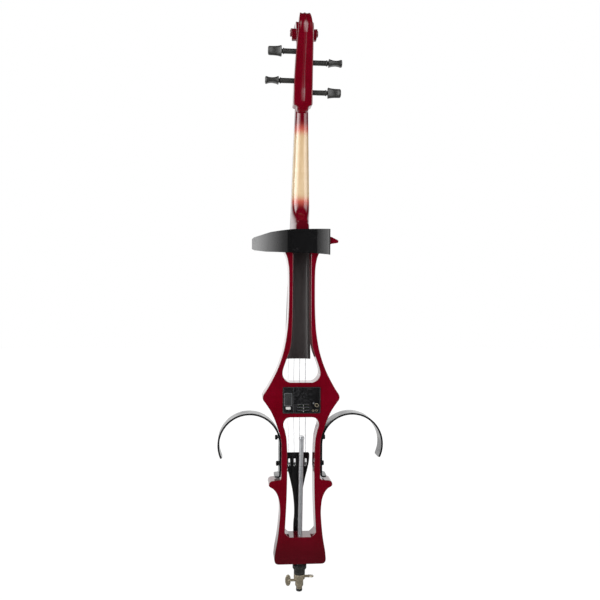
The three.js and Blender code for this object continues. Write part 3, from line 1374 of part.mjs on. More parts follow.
const batteryX = (bay.x0 + bay.x1) / 2;
const batteryEnd = trayDepth - trayFloor - seam;
place('battery', throughX([
  [batteryEnd - batterySize.y, panelMiddle - batterySize.z / 2],
  [batteryEnd, panelMiddle - batterySize.z / 2],
  [batteryEnd, panelMiddle + batterySize.z / 2],
  [batteryEnd - batterySize.y, panelMiddle + batterySize.z / 2],
], batteryX - batterySize.x / 2, batteryX + batterySize.x / 2, trayWall, 1), 'batteryCase');

const board = { x0: bay.x1 + trayWall + seam, z0: inside.z0 + seam, z1: inside.z1 - seam };
function circuitBoard() {
  const plate = box(board.x0, board.x0 + boardWidth, boardDepth, boardDepth + boardThickness, board.z0,
    board.z1);
  const faderBodies = faderZs.map((z, i) => box(
    board.x0 + (i + 1) * seam, board.x0 + boardWidth - boardThickness * 3,
    boardDepth - faderBodyHeight, boardDepth + boardThickness / 2,
    Math.max(z - faderPitch / 2 + seam, board.z0), z + faderPitch / 2 - seam));
  const chip = (x, z, w, h, rise) => box(x - w / 2, x + w / 2,
    boardDepth - rise, boardDepth + boardThickness / 2,
    z - h / 2, z + h / 2);
  const switchBody = box(buttonSpot.x - boardThickness * 4, buttonSpot.x + buttonRadius,
    buttonDepth + buttonTravel + seam, boardDepth + boardThickness,
    buttonSpot.z - buttonRadius, buttonSpot.z + buttonRadius);
  const middle = board.x0 + boardWidth / 2;
  return join(plate, ...faderBodies, switchBody,
    chip(middle - boardWidth / 4, panelMiddle + boardWidth / 4, boardWidth / 5, boardWidth / 7,
    boardThickness * 1.5),
    chip(middle + boardWidth / 8, panelMiddle + boardWidth / 3, boardWidth / 8, boardWidth / 8,
    boardThickness * 4));
}
place('circuit_board', circuitBoard(), 'board');

faderZs.forEach((z, i) => {
  const capTop = panelFace - seam;
  const stem = faderSlotWidth / 2 - seam;
  const cap = throughY(roundedBox(faderMiddle - faderCap.x / 2, faderMiddle + faderCap.x / 2,
    z - faderCap.z / 2, z + faderCap.z / 2, faderCap.z / 5, 1), capTop - faderCap.y, capTop);
  place(`tone_slider_${i + 1}`, join(cap, box(faderMiddle - stem * 2, faderMiddle + stem * 2, capTop - seam,
    boardDepth - faderBodyHeight - seam, z - stem, z + stem)), 'blackPlastic');
});

place('power_button', turned([
  [0, panelFace - buttonProud],
  [buttonRadius * 0.8, panelFace - buttonProud],
  [buttonRadius, panelFace - buttonProud + buttonRadius * 0.2],
  [buttonRadius, buttonProud + seam],
  [buttonRadius + buttonFlange, buttonProud + seam],
  [buttonRadius + buttonFlange, buttonProud + seam + buttonFlange],
  [buttonRadius * 0.6, buttonProud + seam + buttonFlange],
  [buttonRadius * 0.6, buttonDepth],
  [0, buttonDepth],
], [buttonSpot.x, 0, buttonSpot.z], yAxis, 12), 'greyPlastic');

function jack({ x, z }, ring, bore, halfX, size) {
  const block = box(x - halfX, x + halfX, panelInner + seam, size.y, z - size.z / 2, z + size.z / 2);
  const barrel = rod(ring, [x, panelFace - jackProud, z], yAxis, size.y / 2, 16);
  const hole = rod(bore, [x, panelFace - jackProud - cutOverrun, z], yAxis,
    cutOverrun + jackProud + size.y - trayWall, 12);
  return cut(join(block, barrel), hole);
}
place('output_jack', jack(jackSpot, jackRing, jackBore, jackBody.x / 2, jackBody), 'nickel');
for (const spot of smallJackSpots) {
  place(`${spot.name}_jack`, jack(spot, smallJackRing, smallJackBore, smallJackBody.x / 2, smallJackBody),
    'nickel');
}

export default cello;
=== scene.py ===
import math

import bmesh
import bpy
from mathutils import Matrix, Vector


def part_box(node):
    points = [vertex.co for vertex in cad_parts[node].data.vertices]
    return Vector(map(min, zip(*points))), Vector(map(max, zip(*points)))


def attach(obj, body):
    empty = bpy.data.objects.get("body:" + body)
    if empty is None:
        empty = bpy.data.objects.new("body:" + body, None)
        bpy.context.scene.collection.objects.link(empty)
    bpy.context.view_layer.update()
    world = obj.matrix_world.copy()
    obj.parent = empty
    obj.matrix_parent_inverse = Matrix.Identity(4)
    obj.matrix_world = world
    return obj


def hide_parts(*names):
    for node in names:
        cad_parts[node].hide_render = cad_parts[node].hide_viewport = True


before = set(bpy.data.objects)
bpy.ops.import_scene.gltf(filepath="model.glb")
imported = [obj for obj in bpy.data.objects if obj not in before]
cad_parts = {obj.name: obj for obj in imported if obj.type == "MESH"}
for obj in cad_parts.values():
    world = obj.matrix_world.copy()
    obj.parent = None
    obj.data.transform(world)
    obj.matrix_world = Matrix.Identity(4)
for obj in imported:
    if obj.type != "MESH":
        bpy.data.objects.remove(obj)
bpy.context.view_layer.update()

# The sizes below are millimetres seen from behind: X to the right, Y away from the camera from the
# body's back, Z up from the endpin's tip.
mm = 0.001
backFromTip = 23
scene = bpy.context.scene
tau = math.tau


def spot(x, y, z):
    return Vector((x, y - backFromTip, z)) * mm


# Lines and outlines

def flowRows(table, steps):
    # a smooth line through rows of numbers, as rows again
    line = []
    for i in range(len(table) - 1):
        rows = [table[max(i - 1, 0)], table[i], table[i + 1], table[min(i + 2, len(table) - 1)]]
        for k in range(steps):
            t = k / steps
            pulls = (-t + 2 * t ** 2 - t ** 3, 2 - 5 * t ** 2 + 3 * t ** 3,
                     t + 4 * t ** 2 - 3 * t ** 3, t ** 3 - t ** 2)
            line.append([sum(p * value for p, value in zip(pulls, values)) / 2 for values in zip(*rows)])
    return [*line, table[-1]]


def flow(points, steps=6):
    # a smooth line through points
    return [Vector(row) for row in flowRows(points, steps)]


def bend(start, corner, end, steps=6):
    # a rounded corner from start to end
    start, corner, end = Vector(start), Vector(corner), Vector(end)
    shares = [k / steps for k in range(steps + 1)]
    return [start.lerp(corner, t).lerp(corner.lerp(end, t), t) for t in shares]


def arc(x, y, radius, fromTurn, toTurn, steps=8):
    angles = [tau * (fromTurn + (toTurn - fromTurn) * k / steps) for k in range(steps + 1)]
    return [Vector((x + radius * math.cos(a), y + radius * math.sin(a))) for a in angles]


def softened(points, radius, steps=4, closed=False):
    # the same line with each corner rounded
    points = [Vector(p) for p in points]
    line = []
    last = len(points) - 1
    for i, point in enumerate(points):
        if not closed and i in (0, last):
            line.append(point)
            continue
        before, after = points[i - 1], points[(i + 1) % len(points)]
        reachA = min(radius, (before - point).length * 0.49)
        reachB = min(radius, (after - point).length * 0.49)
        start = point + (before - point).normalized() * reachA
        end = point + (after - point).normalized() * reachB
        line += bend(start, point, end, steps)
    return line


def roundedBox(x0, z0, x1, z1, radius, steps=4):
    return softened([(x0, z0), (x1, z0), (x1, z1), (x0, z1)], radius, steps, closed=True)


def mirrored(points):
    return [Vector((-p[0], p[1])) for p in reversed(points)]


def bothSides(half):
    return half + mirrored(half)


def mix(a, b, share):
    return a + (b - a) * share


def levelAt(table, place):
    # straight-line reading of a table of (place, value)
    if place <= table[0][0]:
        return table[0][1]
    for (a, low), (b, high) in zip(table, table[1:]):
        if place <= b:
            return mix(low, high, (place - a) / (b - a))
    return table[-1][1]


# Meshes

def opened(*meshes):
    form = bmesh.new()
    for mesh in meshes:
        form.from_mesh(mesh)
    return form


def written(form, name):
    mesh = bpy.data.meshes.new(name)
    form.to_mesh(mesh)
    form.free()
    return mesh


def finishMesh(form, name):
    bmesh.ops.remove_doubles(form, verts=form.verts, dist=1e-7)
    bmesh.ops.dissolve_degenerate(form, dist=1e-7, edges=form.edges)
    bmesh.ops.recalc_face_normals(form, faces=form.faces)
    return written(form, name)


def cutAcross(form, places, axis):
    # more corners along an axis (0 is X, 2 is Z), for a form that is bent afterwards
    for place in places:
        point, facing = [0, 0, 0], [0, 0, 0]
        point[axis], facing[axis] = place, 1
        bmesh.ops.bisect_plane(form, geom=[*form.verts, *form.edges, *form.faces], dist=1e-6,
                               plane_co=spot(*point), plane_no=facing)


def asMesh(obj, name):
    depsgraph = bpy.context.evaluated_depsgraph_get()
    mesh = bpy.data.meshes.new_from_object(obj.evaluated_get(depsgraph))
    mesh.name = name
    return mesh


def carriedBy(mesh):
    obj = bpy.data.objects.new("tool", mesh)
    scene.collection.objects.link(obj)
    return obj


# A flat plate from outlines in its own X and Y, with its edges rounded over.
# plane "back" stands it up facing Y and "top" lays it flat facing Z.
def plateFrom(name, outlines, low, high, rounding, plane="back", segments=4):
    curve = bpy.data.curves.new(name, "CURVE")
    curve.dimensions = "2D"
    curve.fill_mode = "BOTH"
    curve.extrude = (high - low) / 2 - rounding
    curve.bevel_depth = rounding
    curve.bevel_resolution = segments
    curve.offset = -rounding
    for outline in outlines:
        kept = []
        for point in outline:
            if not kept or (Vector(point) - kept[-1]).length > 0.02:
                kept.append(Vector(point))
        if (kept[0] - kept[-1]).length <= 0.02:
            kept.pop()
        spline = curve.splines.new("POLY")
        spline.points.add(len(kept) - 1)
        for knot, point in zip(spline.points, kept):
            knot.co = (point.x, point.y, 0, 1)
        spline.use_cyclic_u = True
    obj = carriedBy(curve)
    mesh = asMesh(obj, name)
    bpy.data.objects.remove(obj)
    bpy.data.curves.remove(curve)
    middle = (low + high) / 2
    standing = {
        "back": Matrix(((1, 0, 0, 0), (0, 0, -1, middle), (0, 1, 0, 0), (0, 0, 0, 1))),
        "top": Matrix(((1, 0, 0, 0), (0, 1, 0, 0), (0, 0, 1, middle), (0, 0, 0, 1))),
    }[plane]
    mesh.transform(Matrix.Scale(mm, 4) @ Matrix.Translation((0, -backFromTip, 0)) @ standing)
    return finishMesh(opened(mesh), name)


# A skin through rings of the same number of corners, closed at both ends.
def lofted(name, rings):
    form = bmesh.new()
    loops = []
    for ring in rings:
        verts = [form.verts.new(p) for p in ring]
        edges = [form.edges.new((verts[k - 1], verts[k])) for k in range(len(verts))]
        loops.append((verts, edges))
    for (_, near), (_, far) in zip(loops, loops[1:]):
        bmesh.ops.bridge_loops(form, edges=near + far)
    for verts, edges in (loops[0], loops[-1]):
        bmesh.ops.holes_fill(form, edges=edges, sides=0)
    return finishMesh(form, name)


# A profile of (radius, distance along) turned round an axis.
def spun(name, profile, start, axis, steps=48):
    axis = Vector(axis).normalized()
    side = axis.orthogonal().normalized()
    form = bmesh.new()
    verts = [form.verts.new(start + (side * r + axis * along) * mm) for r, along in profile]
    edges = [form.edges.new(pair) for pair in zip(verts, verts[1:])]
    bmesh.ops.spin(form, geom=verts + edges, cent=start, axis=axis, angle=tau, steps=steps, use_merge=True)
    return finishMesh(form, name)


def joined(name, meshes):
    return written(opened(*meshes), name)


def carve(mesh, tool, operation="DIFFERENCE", wound=False):
    host, cutter = carriedBy(mesh), carriedBy(tool)
    modifier = host.modifiers.new("carve", "BOOLEAN")
    modifier.operation = operation
    modifier.solver = "EXACT"
    modifier.use_self = wound       # for a form that runs into itself
    modifier.object = cutter
    result = asMesh(host, mesh.name)
    for obj in (host, cutter):
        bpy.data.objects.remove(obj)
    return result


def blockBetween(low, high):
    form = bmesh.new()
    low, high = spot(*low), spot(*high)
    bmesh.ops.create_cube(form, size=1)
    bmesh.ops.scale(form, vec=high - low, verts=form.verts)
    bmesh.ops.translate(form, vec=(low + high) / 2, verts=form.verts)
    return finishMesh(form, "block")


# A copy of a solid of the frame with its flat faces whole again.
def merged(node):
    form = opened(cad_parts[node].data)
    bmesh.ops.remove_doubles(form, verts=form.verts, dist=1e-6)
    bmesh.ops.dissolve_limit(form, angle_limit=math.radians(1), verts=form.verts, edges=form.edges)
    return written(form, node)


def addPiece(name, mesh, body, look, replaced=(), edge=0, sharp=35, segments=3):
    material, slot = looks[look]
    obj = bpy.data.objects.new(name, mesh)
    scene.collection.objects.link(obj)
    mesh.materials.append(material)
    mesh.shade_smooth()
    mesh.set_sharp_from_angle(angle=math.radians(sharp))
    if edge:
        bevel = obj.modifiers.new("edges", "BEVEL")
        bevel.width = edge * mm
        bevel.segments = segments
        bevel.limit_method = "ANGLE"
        bevel.angle_limit = math.radians(sharp)
    weighted = obj.modifiers.new("shading", "WEIGHTED_NORMAL")
    weighted.keep_sharp = True
    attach(obj, body)
    if replaced:
        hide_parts(*replaced)


# A piece in the solid's own shape, with its edges rounded.
def addPlain(name, node, body, look, edge=0, sharp=35):
    addPiece(name, merged(node), body, look, [node], edge, sharp)


# Node groups shared by the materials

def fill(tree, node, inputs):
    # each input is a link from another node or a plain value
    for key, value in inputs.items():
        if isinstance(value, bpy.types.NodeSocket):
            tree.links.new(value, node.inputs[key])
        else:
            node.inputs[key].default_value = value
    return node


def addNode(tree, kind, inputs=None, **settings):
    node = tree.nodes.new(f"ShaderNode{kind}")
    for key, value in settings.items():
        setattr(node, key, value)
    return fill(tree, node, inputs or {})


def maths(tree, operation, *values):
    return addNode(tree, "Math", dict(enumerate(values)), operation=operation).outputs[0]


def scaled(tree, vector, size):
    return addNode(tree, "VectorMath", {0: vector, 1: size}, operation="MULTIPLY").outputs[0]


def partsOf(tree, vector):
    return addNode(tree, "SeparateXYZ", {0: vector}).outputs


def noise(tree, vector, scale, detail, roughness=0.5, distortion=0.0):
    return addNode(tree, "TexNoise", {"Vector": vector, "Scale": scale, "Detail": detail,
                                      "Roughness": roughness, "Distortion": distortion}).outputs[0]


def remap(tree, value, low, high, toLow=0.0, toHigh=1.0):
    return addNode(tree, "MapRange", {"Value": value, "From Min": low, "From Max": high, "To Min": toLow,
                                      "To Max": toHigh}, interpolation_type="SMOOTHSTEP").outputs[0]


def spread(tree, value, low, high):
    return remap(tree, value, 0.0, 1.0, low, high)


def between(tree, place, ends, toLow=0.0, toHigh=1.0):
    # remapped between two places in millimetres
    return remap(tree, place, ends[0] * mm, ends[1] * mm, toLow, toHigh)


def blendColour(tree, share, a, b, mode="MIX"):
    return addNode(tree, "Mix", {0: share, 6: a, 7: b}, data_type="RGBA", blend_type=mode).outputs[2]


# A group takes a vector and some numbers, and gives out what its builder makes.
def newGroup(name, numbers, build):
    tree = bpy.data.node_groups.new(name, "ShaderNodeTree")
    tree.interface.new_socket("Vector", in_out="INPUT", socket_type="NodeSocketVector")
    for label, value in numbers.items():
        socket = tree.interface.new_socket(label, in_out="INPUT", socket_type="NodeSocketFloat")
        socket.default_value = value
    made = build(tree, tree.nodes.new("NodeGroupInput").outputs)
    for label in made:
        tree.interface.new_socket(label, in_out="OUTPUT", socket_type="NodeSocketFloat")
    fill(tree, tree.nodes.new("NodeGroupOutput"), made)
    return tree


def buildGrain(tree, given):
    # maple or ebony: long streaks, curl across them and fine pores
    place = given["Vector"]
    streaks = noise(tree, scaled(tree, place, (95, 95, 5)), 1.0, 6.0, 0.62)
    waves = noise(tree, scaled(tree, place, (9, 9, 62)), 1.0, 3.0, distortion=0.7)
    fine = addNode(tree, "VectorMath", {0: scaled(tree, place, (1, 1, 0.06)), "Scale": given["Pore Scale"]},
                   operation="SCALE").outputs[0]
    return {"Streaks": remap(tree, streaks, 0.3, 0.7),
            "Curl": maths(tree, "MULTIPLY", remap(tree, waves, 0.36, 0.66), given["Curl"]),
            "Pores": remap(tree, noise(tree, fine, 1.0, 2.0), 0.35, 0.62)}


def buildSurface(tree, given):
    # slow unevenness, finger marks and a fine skin, for what was moulded, cast, lacquered or turned
    place, patch = given["Vector"], given["Patch Scale"]
    patches = noise(tree, place, patch, 4.0, 0.55)
    smears = noise(tree, scaled(tree, place, (0.7, 1.3, 1.0)), patch, 5.0, 0.7, 1.6)
    return {"Patches": remap(tree, patches, 0.3, 0.7), "Smears": remap(tree, smears, 0.5, 0.78),
            "Skin": noise(tree, place, given["Skin Scale"], 2.0)}


def buildEdgeWear(tree, given):
    # worn or rounded-over edges, told from the surface's own bend
    edge = remap(tree, addNode(tree, "NewGeometry").outputs["Pointiness"], 0.515, 0.6)
    broken = remap(tree, noise(tree, given["Vector"], 220.0, 4.0), 0.35, 0.65)
    return {"Wear": maths(tree, "MULTIPLY", edge, broken)}


groups = {
    "grain": newGroup("wood grain", {"Curl": 0.5, "Pore Scale": 900.0}, buildGrain),
    "surface": newGroup("surface", {"Patch Scale": 30.0, "Skin Scale": 1800.0}, buildSurface),
    "wear": newGroup("edge wear", {}, buildEdgeWear),
}


def byLabel(words):
    # Patch_Scale stands for the input called "Patch Scale"
    return {word.replace("_", " "): value for word, value in words.items()}


def useGroup(tree, name, place, **numbers):
    return addNode(tree, "Group", {"Vector": place, **byLabel(numbers)}, node_tree=groups[name]).outputs


def startMaterial(name, **constants):
    material = bpy.data.materials.new(name)
    material.use_nodes = True
    tree = material.node_tree
    shader = tree.nodes["Principled BSDF"]
    fill(tree, shader, byLabel(constants))
    return material, tree, shader, addNode(tree, "TexCoord").outputs["Object"]


def feed(tree, shader, colour, roughness, height, depth, metallic=None):
    bump = addNode(tree, "Bump", {"Height": height, "Distance": depth * mm, "Strength": 0.6})
    fill(tree, shader, {"Base Color": colour, "Roughness": roughness, "Normal": bump.outputs[0]})
    if metallic is not None:
        fill(tree, shader, {"Metallic": metallic})


def hue(r, g, b):
    # a colour given as it looks on a screen, 0 to 255
    def level(v):
        v /= 255
        return v / 12.92 if v <= 0.04045 else ((v + 0.055) / 1.055) ** 2.4
    return (level(r), level(g), level(b), 1)


# Materials

# Curly maple under clear red lacquer: the wood's own colour seen through a red film whose depth varies.
# On the neck the film thins out where the hand slides. Painted shade darkens the lacquer towards the foot
# and on the heel's flat button.
lacquer = {
    "wood": (222, 196, 158), "grain": (208, 178, 138), "film": (0.225, 0.0017, 0.03, 1),
    "thinFilm": (0.8, 0.217, 0.26, 1), "even": (1.0, 1.1), "curl": 0.07,
    "paintedShade": (52, 16, 20), "foot": (69, 190), "footShadeShare": 0.62, "blondLow": (874, 922),
    "blondHigh": (1036, 1092), "heel": (863, 872), "heelHalf": (8, 12), "heelCoat": 0.12,
    "button": (-22.8, -22.2), "buttonShadeShare": 0.45,
}


def crimsonLacquer(name, withBlond):
    material, tree, shader, place = startMaterial(
        name, Roughness=0.42, Coat_Weight=1.0, Coat_Roughness=0.09, Coat_IOR=1.6, Specular_IOR_Level=0.0)
    light, streak, dark = (hue(*lacquer[part]) for part in ("wood", "grain", "paintedShade"))
    grain = useGroup(tree, "grain", place, Curl=0.45)
    surface = useGroup(tree, "surface", place, Patch_Scale=9.0, Skin_Scale=420.0)
    across, behind, height = partsOf(tree, place)
    wood = blendColour(tree, grain["Streaks"], streak, light)
    wood = blendColour(tree, grain["Curl"], wood, streak)
    depth = spread(tree, surface["Patches"], *lacquer["even"])
    depth = maths(tree, "MULTIPLY_ADD", grain["Curl"], lacquer["curl"], depth)
    film = addNode(tree, "Gamma", {"Color": lacquer["film"], "Gamma": depth}).outputs[0]
    colour = blendColour(tree, 1.0, wood, film, "MULTIPLY")
    if withBlond:
        share = maths(tree, "MAXIMUM", between(tree, height, lacquer["blondLow"], 1.0, 0.0),
                      between(tree, height, lacquer["blondHigh"]))
        thin = blendColour(tree, 1.0, wood, lacquer["thinFilm"], "MULTIPLY")
        fading = blendColour(tree, remap(tree, share, 0.0, 0.55), wood, thin)
        colour = blendColour(tree, remap(tree, share, 0.4, 1.0), fading, colour)
    # painted shade: the lacquer darkens towards the foot, where less light falls
    low = between(tree, height, lacquer["foot"], lacquer["footShadeShare"], 0.0)
    colour = blendColour(tree, low, colour, dark)
    if withBlond:
        # the hand rubs the heel's hollow matt, and painted shade darkens the flat button under it
        aside = maths(tree, "ABSOLUTE", across)
        worn = maths(tree, "MAXIMUM", between(tree, height, lacquer["heel"], lacquer["heelCoat"], 1.0),
                     between(tree, aside, lacquer["heelHalf"]))
        fill(tree, shader, {"Coat Weight": worn})
        button = maths(tree, "MULTIPLY", between(tree, height, lacquer["heel"], 1.0, 0.0),
                       between(tree, behind, lacquer["button"], lacquer["buttonShadeShare"], 0.0))
        colour = blendColour(tree, button, colour, dark)
    feed(tree, shader, colour, spread(tree, surface["Smears"], 0.38, 0.48), grain["Pores"], 0.004)
    return material


def plainWood(name, dark, light, rough, curl, pores):
    material, tree, shader, place = startMaterial(name, Roughness=rough)
    grain = useGroup(tree, "grain", place, Curl=curl, Pore_Scale=1100.0)
    surface = useGroup(tree, "surface", place, Patch_Scale=22.0)
    colour = blendColour(tree, grain["Streaks"], hue(*dark), hue(*light))
    colour = blendColour(tree, grain["Curl"], colour, hue(*dark))
    feed(tree, shader, colour, spread(tree, surface["Smears"], rough, rough + 0.14), grain["Pores"], pores)
    return material


def moulded(name, colour, worn, rough, skin=0.012, skinScale=1500.0):
    material, tree, shader, place = startMaterial(name, Roughness=rough)
    surface = useGroup(tree, "surface", place, Patch_Scale=35.0, Skin_Scale=skinScale)
    edges = useGroup(tree, "wear", place)
    shade = blendColour(tree, surface["Patches"], hue(*colour), hue(*[c * 0.8 for c in colour]))
    shade = blendColour(tree, maths(tree, "MULTIPLY", edges["Wear"], 0.35), shade, hue(*worn))
    feed(tree, shader, shade, spread(tree, surface["Smears"], rough, rough + 0.13), surface["Skin"], skin)
    return material


def metal(name, colour, dark, rough, metallic=1.0, stretch=(1, 1, 1), skin=0.006, skinScale=2500.0):
    material, tree, shader, place = startMaterial(name, Roughness=rough, Metallic=metallic)
    surface = useGroup(tree, "surface", scaled(tree, place, stretch), Patch_Scale=60.0, Skin_Scale=skinScale)
    edges = useGroup(tree, "wear", place)
    shade = blendColour(tree, surface["Smears"], hue(*colour), hue(*dark))
    shade = blendColour(tree, edges["Wear"], shade, hue(*[min(255, c * 1.12) for c in colour]))
    roughness = spread(tree, surface["Patches"], rough * 0.8, rough * 1.3)
    feed(tree, shader, shade, roughness, surface["Skin"], skin)
    return material


silkFrom = (1126.5, 1127.5)


# Strings: fine round winding, with a coloured silk where the peg holds them.
def woundWire(name, silk, pitch):
    material, tree, shader, place = startMaterial(name, Roughness=0.32, Metallic=1.0)
    height = partsOf(tree, place)["Z"]
    ridge = maths(tree, "SINE", maths(tree, "MULTIPLY", height, tau / (pitch * mm)))
    surface = useGroup(tree, "surface", place, Patch_Scale=40.0)
    steel = blendColour(tree, surface["Smears"], hue(176, 178, 182), hue(120, 118, 116))
    colour = blendColour(tree, between(tree, height, silkFrom), steel, hue(*silk))
    feed(tree, shader, colour, spread(tree, surface["Patches"], 0.26, 0.42), ridge, 0.03,
         between(tree, height, silkFrom, 1.0, 0.0))
    return material


def circuitBoardLook():
    material, tree, shader, place = startMaterial("circuit board", Roughness=0.4)
    turned = addNode(tree, "Mapping", {"Vector": place, "Rotation": (math.radians(90), 0, 0)}).outputs[0]
    grid = addNode(tree, "TexBrick", {
        "Vector": turned, "Color1": hue(16, 74, 44), "Color2": hue(22, 92, 54), "Mortar": hue(150, 130, 70),
        "Scale": 90.0, "Mortar Size": 0.012, "Brick Width": 0.45, "Row Height": 0.22}, offset=0.35)
    surface = useGroup(tree, "surface", place, Patch_Scale=300.0)
    colour = blendColour(tree, surface["Smears"], grid.outputs["Color"], hue(12, 54, 34))
    feed(tree, shader, colour, spread(tree, surface["Patches"], 0.3, 0.5), surface["Skin"], 0.02)
    return material


def batteryLook():
    material, tree, shader, place = startMaterial("battery case", Roughness=0.34)
    height, capFrom = partsOf(tree, place)["Z"], (436.5, 436.8)
    surface = useGroup(tree, "surface", place, Patch_Scale=60.0)
    colour = blendColour(tree, between(tree, height, capFrom), hue(28, 28, 30), hue(176, 132, 74))
    colour = blendColour(tree, surface["Smears"], colour, hue(90, 80, 70))
    feed(tree, shader, colour, spread(tree, surface["Patches"], 0.25, 0.42), surface["Skin"], 0.008,
         between(tree, height, capFrom, 0.3, 0.75))
    return material


# each look with its slot
looks = {
    "lacquer": (crimsonLacquer("crimson lacquer", False), "lacquered_maple"),
    "neck": (crimsonLacquer("lacquered neck", True), "lacquered_maple"),
    "ebony": (plainWood("ebony", (33, 30, 30), (45, 41, 41), 0.5, 0.2, 0.01), "ebony"),
    "peg": (plainWood("peg ebony", (34, 34, 33), (46, 46, 44), 0.4, 0.1, 0.0), "ebony"),
    "bridge": (plainWood("bridge maple", (168, 122, 70), (205, 160, 104), 0.55, 0.6, 0.03), "bridge_maple"),
    "plastic": (moulded("black plastic", (15, 15, 16), (66, 66, 68), 0.22), "black_plastic"),
    "textured": (moulded("textured black plastic", (15, 15, 16), (60, 60, 62), 0.25, 0.02, 900.0),
                 "black_plastic"),
    "grey": (moulded("grey plastic", (118, 119, 121), (150, 151, 153), 0.4, 0.02, 1100.0), "grey_plastic"),
    # this look also colours the panel's rim and the door's seam as painted edge highlights
    "ribsAndHighlightLines": (moulded("dark grey plastic and highlight lines", (52, 53, 54), (88, 89, 90), 0.4, 0.02, 1100.0), "grey_plastic"),
    # the pale look is painted highlight, on the door's latch and on the slider caps
    "pale": (moulded("pale plastic highlight", (214, 213, 210), (232, 231, 228), 0.4, 0.02, 1100.0), "grey_plastic"),
    "rubber": (moulded("rubber", (16, 16, 17), (52, 50, 48), 0.7, 0.05, 1300.0), "rubber"),
    "blackMetal": (metal("black coated metal", (24, 24, 26), (34, 34, 36), 0.22, 0.3, skin=0.004,
                         skinScale=1600.0), "black_metal"),
    "nickel": (metal("warm nickel", (158, 148, 128), (136, 126, 106), 0.36, 0.55, (1, 1, 6), 0.003),
               "nickel"),
    "steel": (metal("ground steel", (176, 178, 181), (158, 160, 162), 0.34, 0.6, (0.2, 0.2, 12), 0.002),
              "steel"),
    "brass": (metal("brass", (196, 160, 88), (140, 108, 56), 0.3), "brass"),
    "board": (circuitBoardLook(), "circuit_board"),
    "battery": (batteryLook(), "battery_case"),
}
print("materials ready")


# Body frame: one plank of maple with two openings

bodyFrame = {
    "halfWidth": 88, "bottom": 68.5, "length": 757.5, "thickness": 50, "rounding": 1.1, "bottomCorner": 11,
    "flank": [(0.668, 0.0145), (0.648, 0.038), (0.586, 0.08), (0.545, 0.126), (0.531, 0.16), (0.56, 0.194),
              (0.628, 0.215), (0.713, 0.2275)],
    "horn": [(0.768, 0.231), (0.84, 0.235), (0.823, 0.242), (0.814, 0.25), (0.736, 0.251)],
    "root": [(0.586, 0.2526), (0.505, 0.2534), (0.505, 0.263)],
    "shoulder": [(0.505, 0.359), (0.516, 0.373), (0.547, 0.389), (0.592, 0.404), (0.666, 0.43),
                 (0.786, 0.46), (0.937, 0.4865)],
    "point": (1.06, 0.5005),
    "waist": [(0.937, 0.5175), (0.844, 0.535), (0.692, 0.568), (0.58, 0.598), (0.494, 0.6285),
              (0.433, 0.658), (0.374, 0.704), (0.345, 0.761), (0.337, 0.814), (0.339, 0.87),
              (0.356, 0.8995), (0.414, 0.9285), (0.552, 0.9505), (0.759, 0.9635)],
    "upperHorn": (0.8954, 0.971), "hornRadius": 3.9,
    "topEdge": [(0.766, 0.984), (0.575, 0.9915), (0.402, 0.997), (0.253, 1)],
    "upperOpening": [(0.287, 0.546), (0.351, 0.5485), (0.418, 0.5545), (0.463, 0.562), (0.487, 0.572),
                     (0.478, 0.5835), (0.431, 0.6015), (0.362, 0.624), (0.307, 0.643), (0.264, 0.6735),
                     (0.241, 0.733), (0.2345, 0.796)],
    "upperOpeningTop": 0.952, "openingCorner": 6,
    "lowerOpening": [(0.405, 0.097), (0.387, 0.133), (0.363, 0.1935), (0.352, 0.258), (0.3505, 0.305),
                     (0.356, 0.344), (0.371, 0.3735), (0.391, 0.3885), (0.422, 0.404), (0.454, 0.415),
                     (0.4575, 0.4237), (0.422, 0.4335), (0.3655, 0.4395), (0.287, 0.4417)],
    "lowerOpeningFoot": [(0.279, 0.081), (0.391, 0.0927)],
    "preampBay": ((-41.2, -6, 414.2), (42.2, 30.3, 471.6)),
}


def makeBody():
    sizes = bodyFrame

    def share(pairs):
        return [Vector((x * sizes["halfWidth"], sizes["bottom"] + z * sizes["length"])) for x, z in pairs]

    flank, horn, root, shoulder, waist, topEdge, upper, lower, lowerFoot = [share(sizes[part]) for part in (
        "flank", "horn", "root", "shoulder", "waist", "topEdge", "upperOpening", "lowerOpening",
        "lowerOpeningFoot")]
    point, tip = share([sizes["point"], sizes["upperHorn"]])
    foot = Vector((flank[0].x, sizes["bottom"]))
    half = [
        *bend(foot - Vector((sizes["bottomCorner"], 0)), foot, flank[0], 8),
        *flow(flank, 7)[1:],
        *bend(*horn[:3]),
        *bend(*horn[2:])[1:],
        *bend(*root),
        *flow(shoulder, 7),
        *bend(shoulder[-1], point, waist[0], 12)[1:],
        *flow(waist, 7)[1:],
        *arc(tip.x, tip.y, sizes["hornRadius"], -0.2125, 0.15),
        *flow(topEdge, 4),
    ]
    corner = sizes["openingCorner"]
    upperTop = sizes["bottom"] + sizes["upperOpeningTop"] * sizes["length"] - corner
    upper = flow(upper) + arc(upper[-1].x - corner, upperTop, corner, 0, 0.25, 6)
    lower = softened(lowerFoot + flow(lower), 7, 6)
    outlines = [bothSides(side) for side in (half, softened(upper, 1), lower)]
    plank = plateFrom("bodyFrame", outlines, 0, sizes["thickness"], sizes["rounding"], segments=5)
    plank = carve(plank, blockBetween(*sizes["preampBay"]))
    addPiece("maple_body", plank, "body", "lacquer", ["body_frame"], sharp=40)


makeBody()
print("body frame done")


# Neck: a tapering shaft that runs into a heel with a flat round-topped button

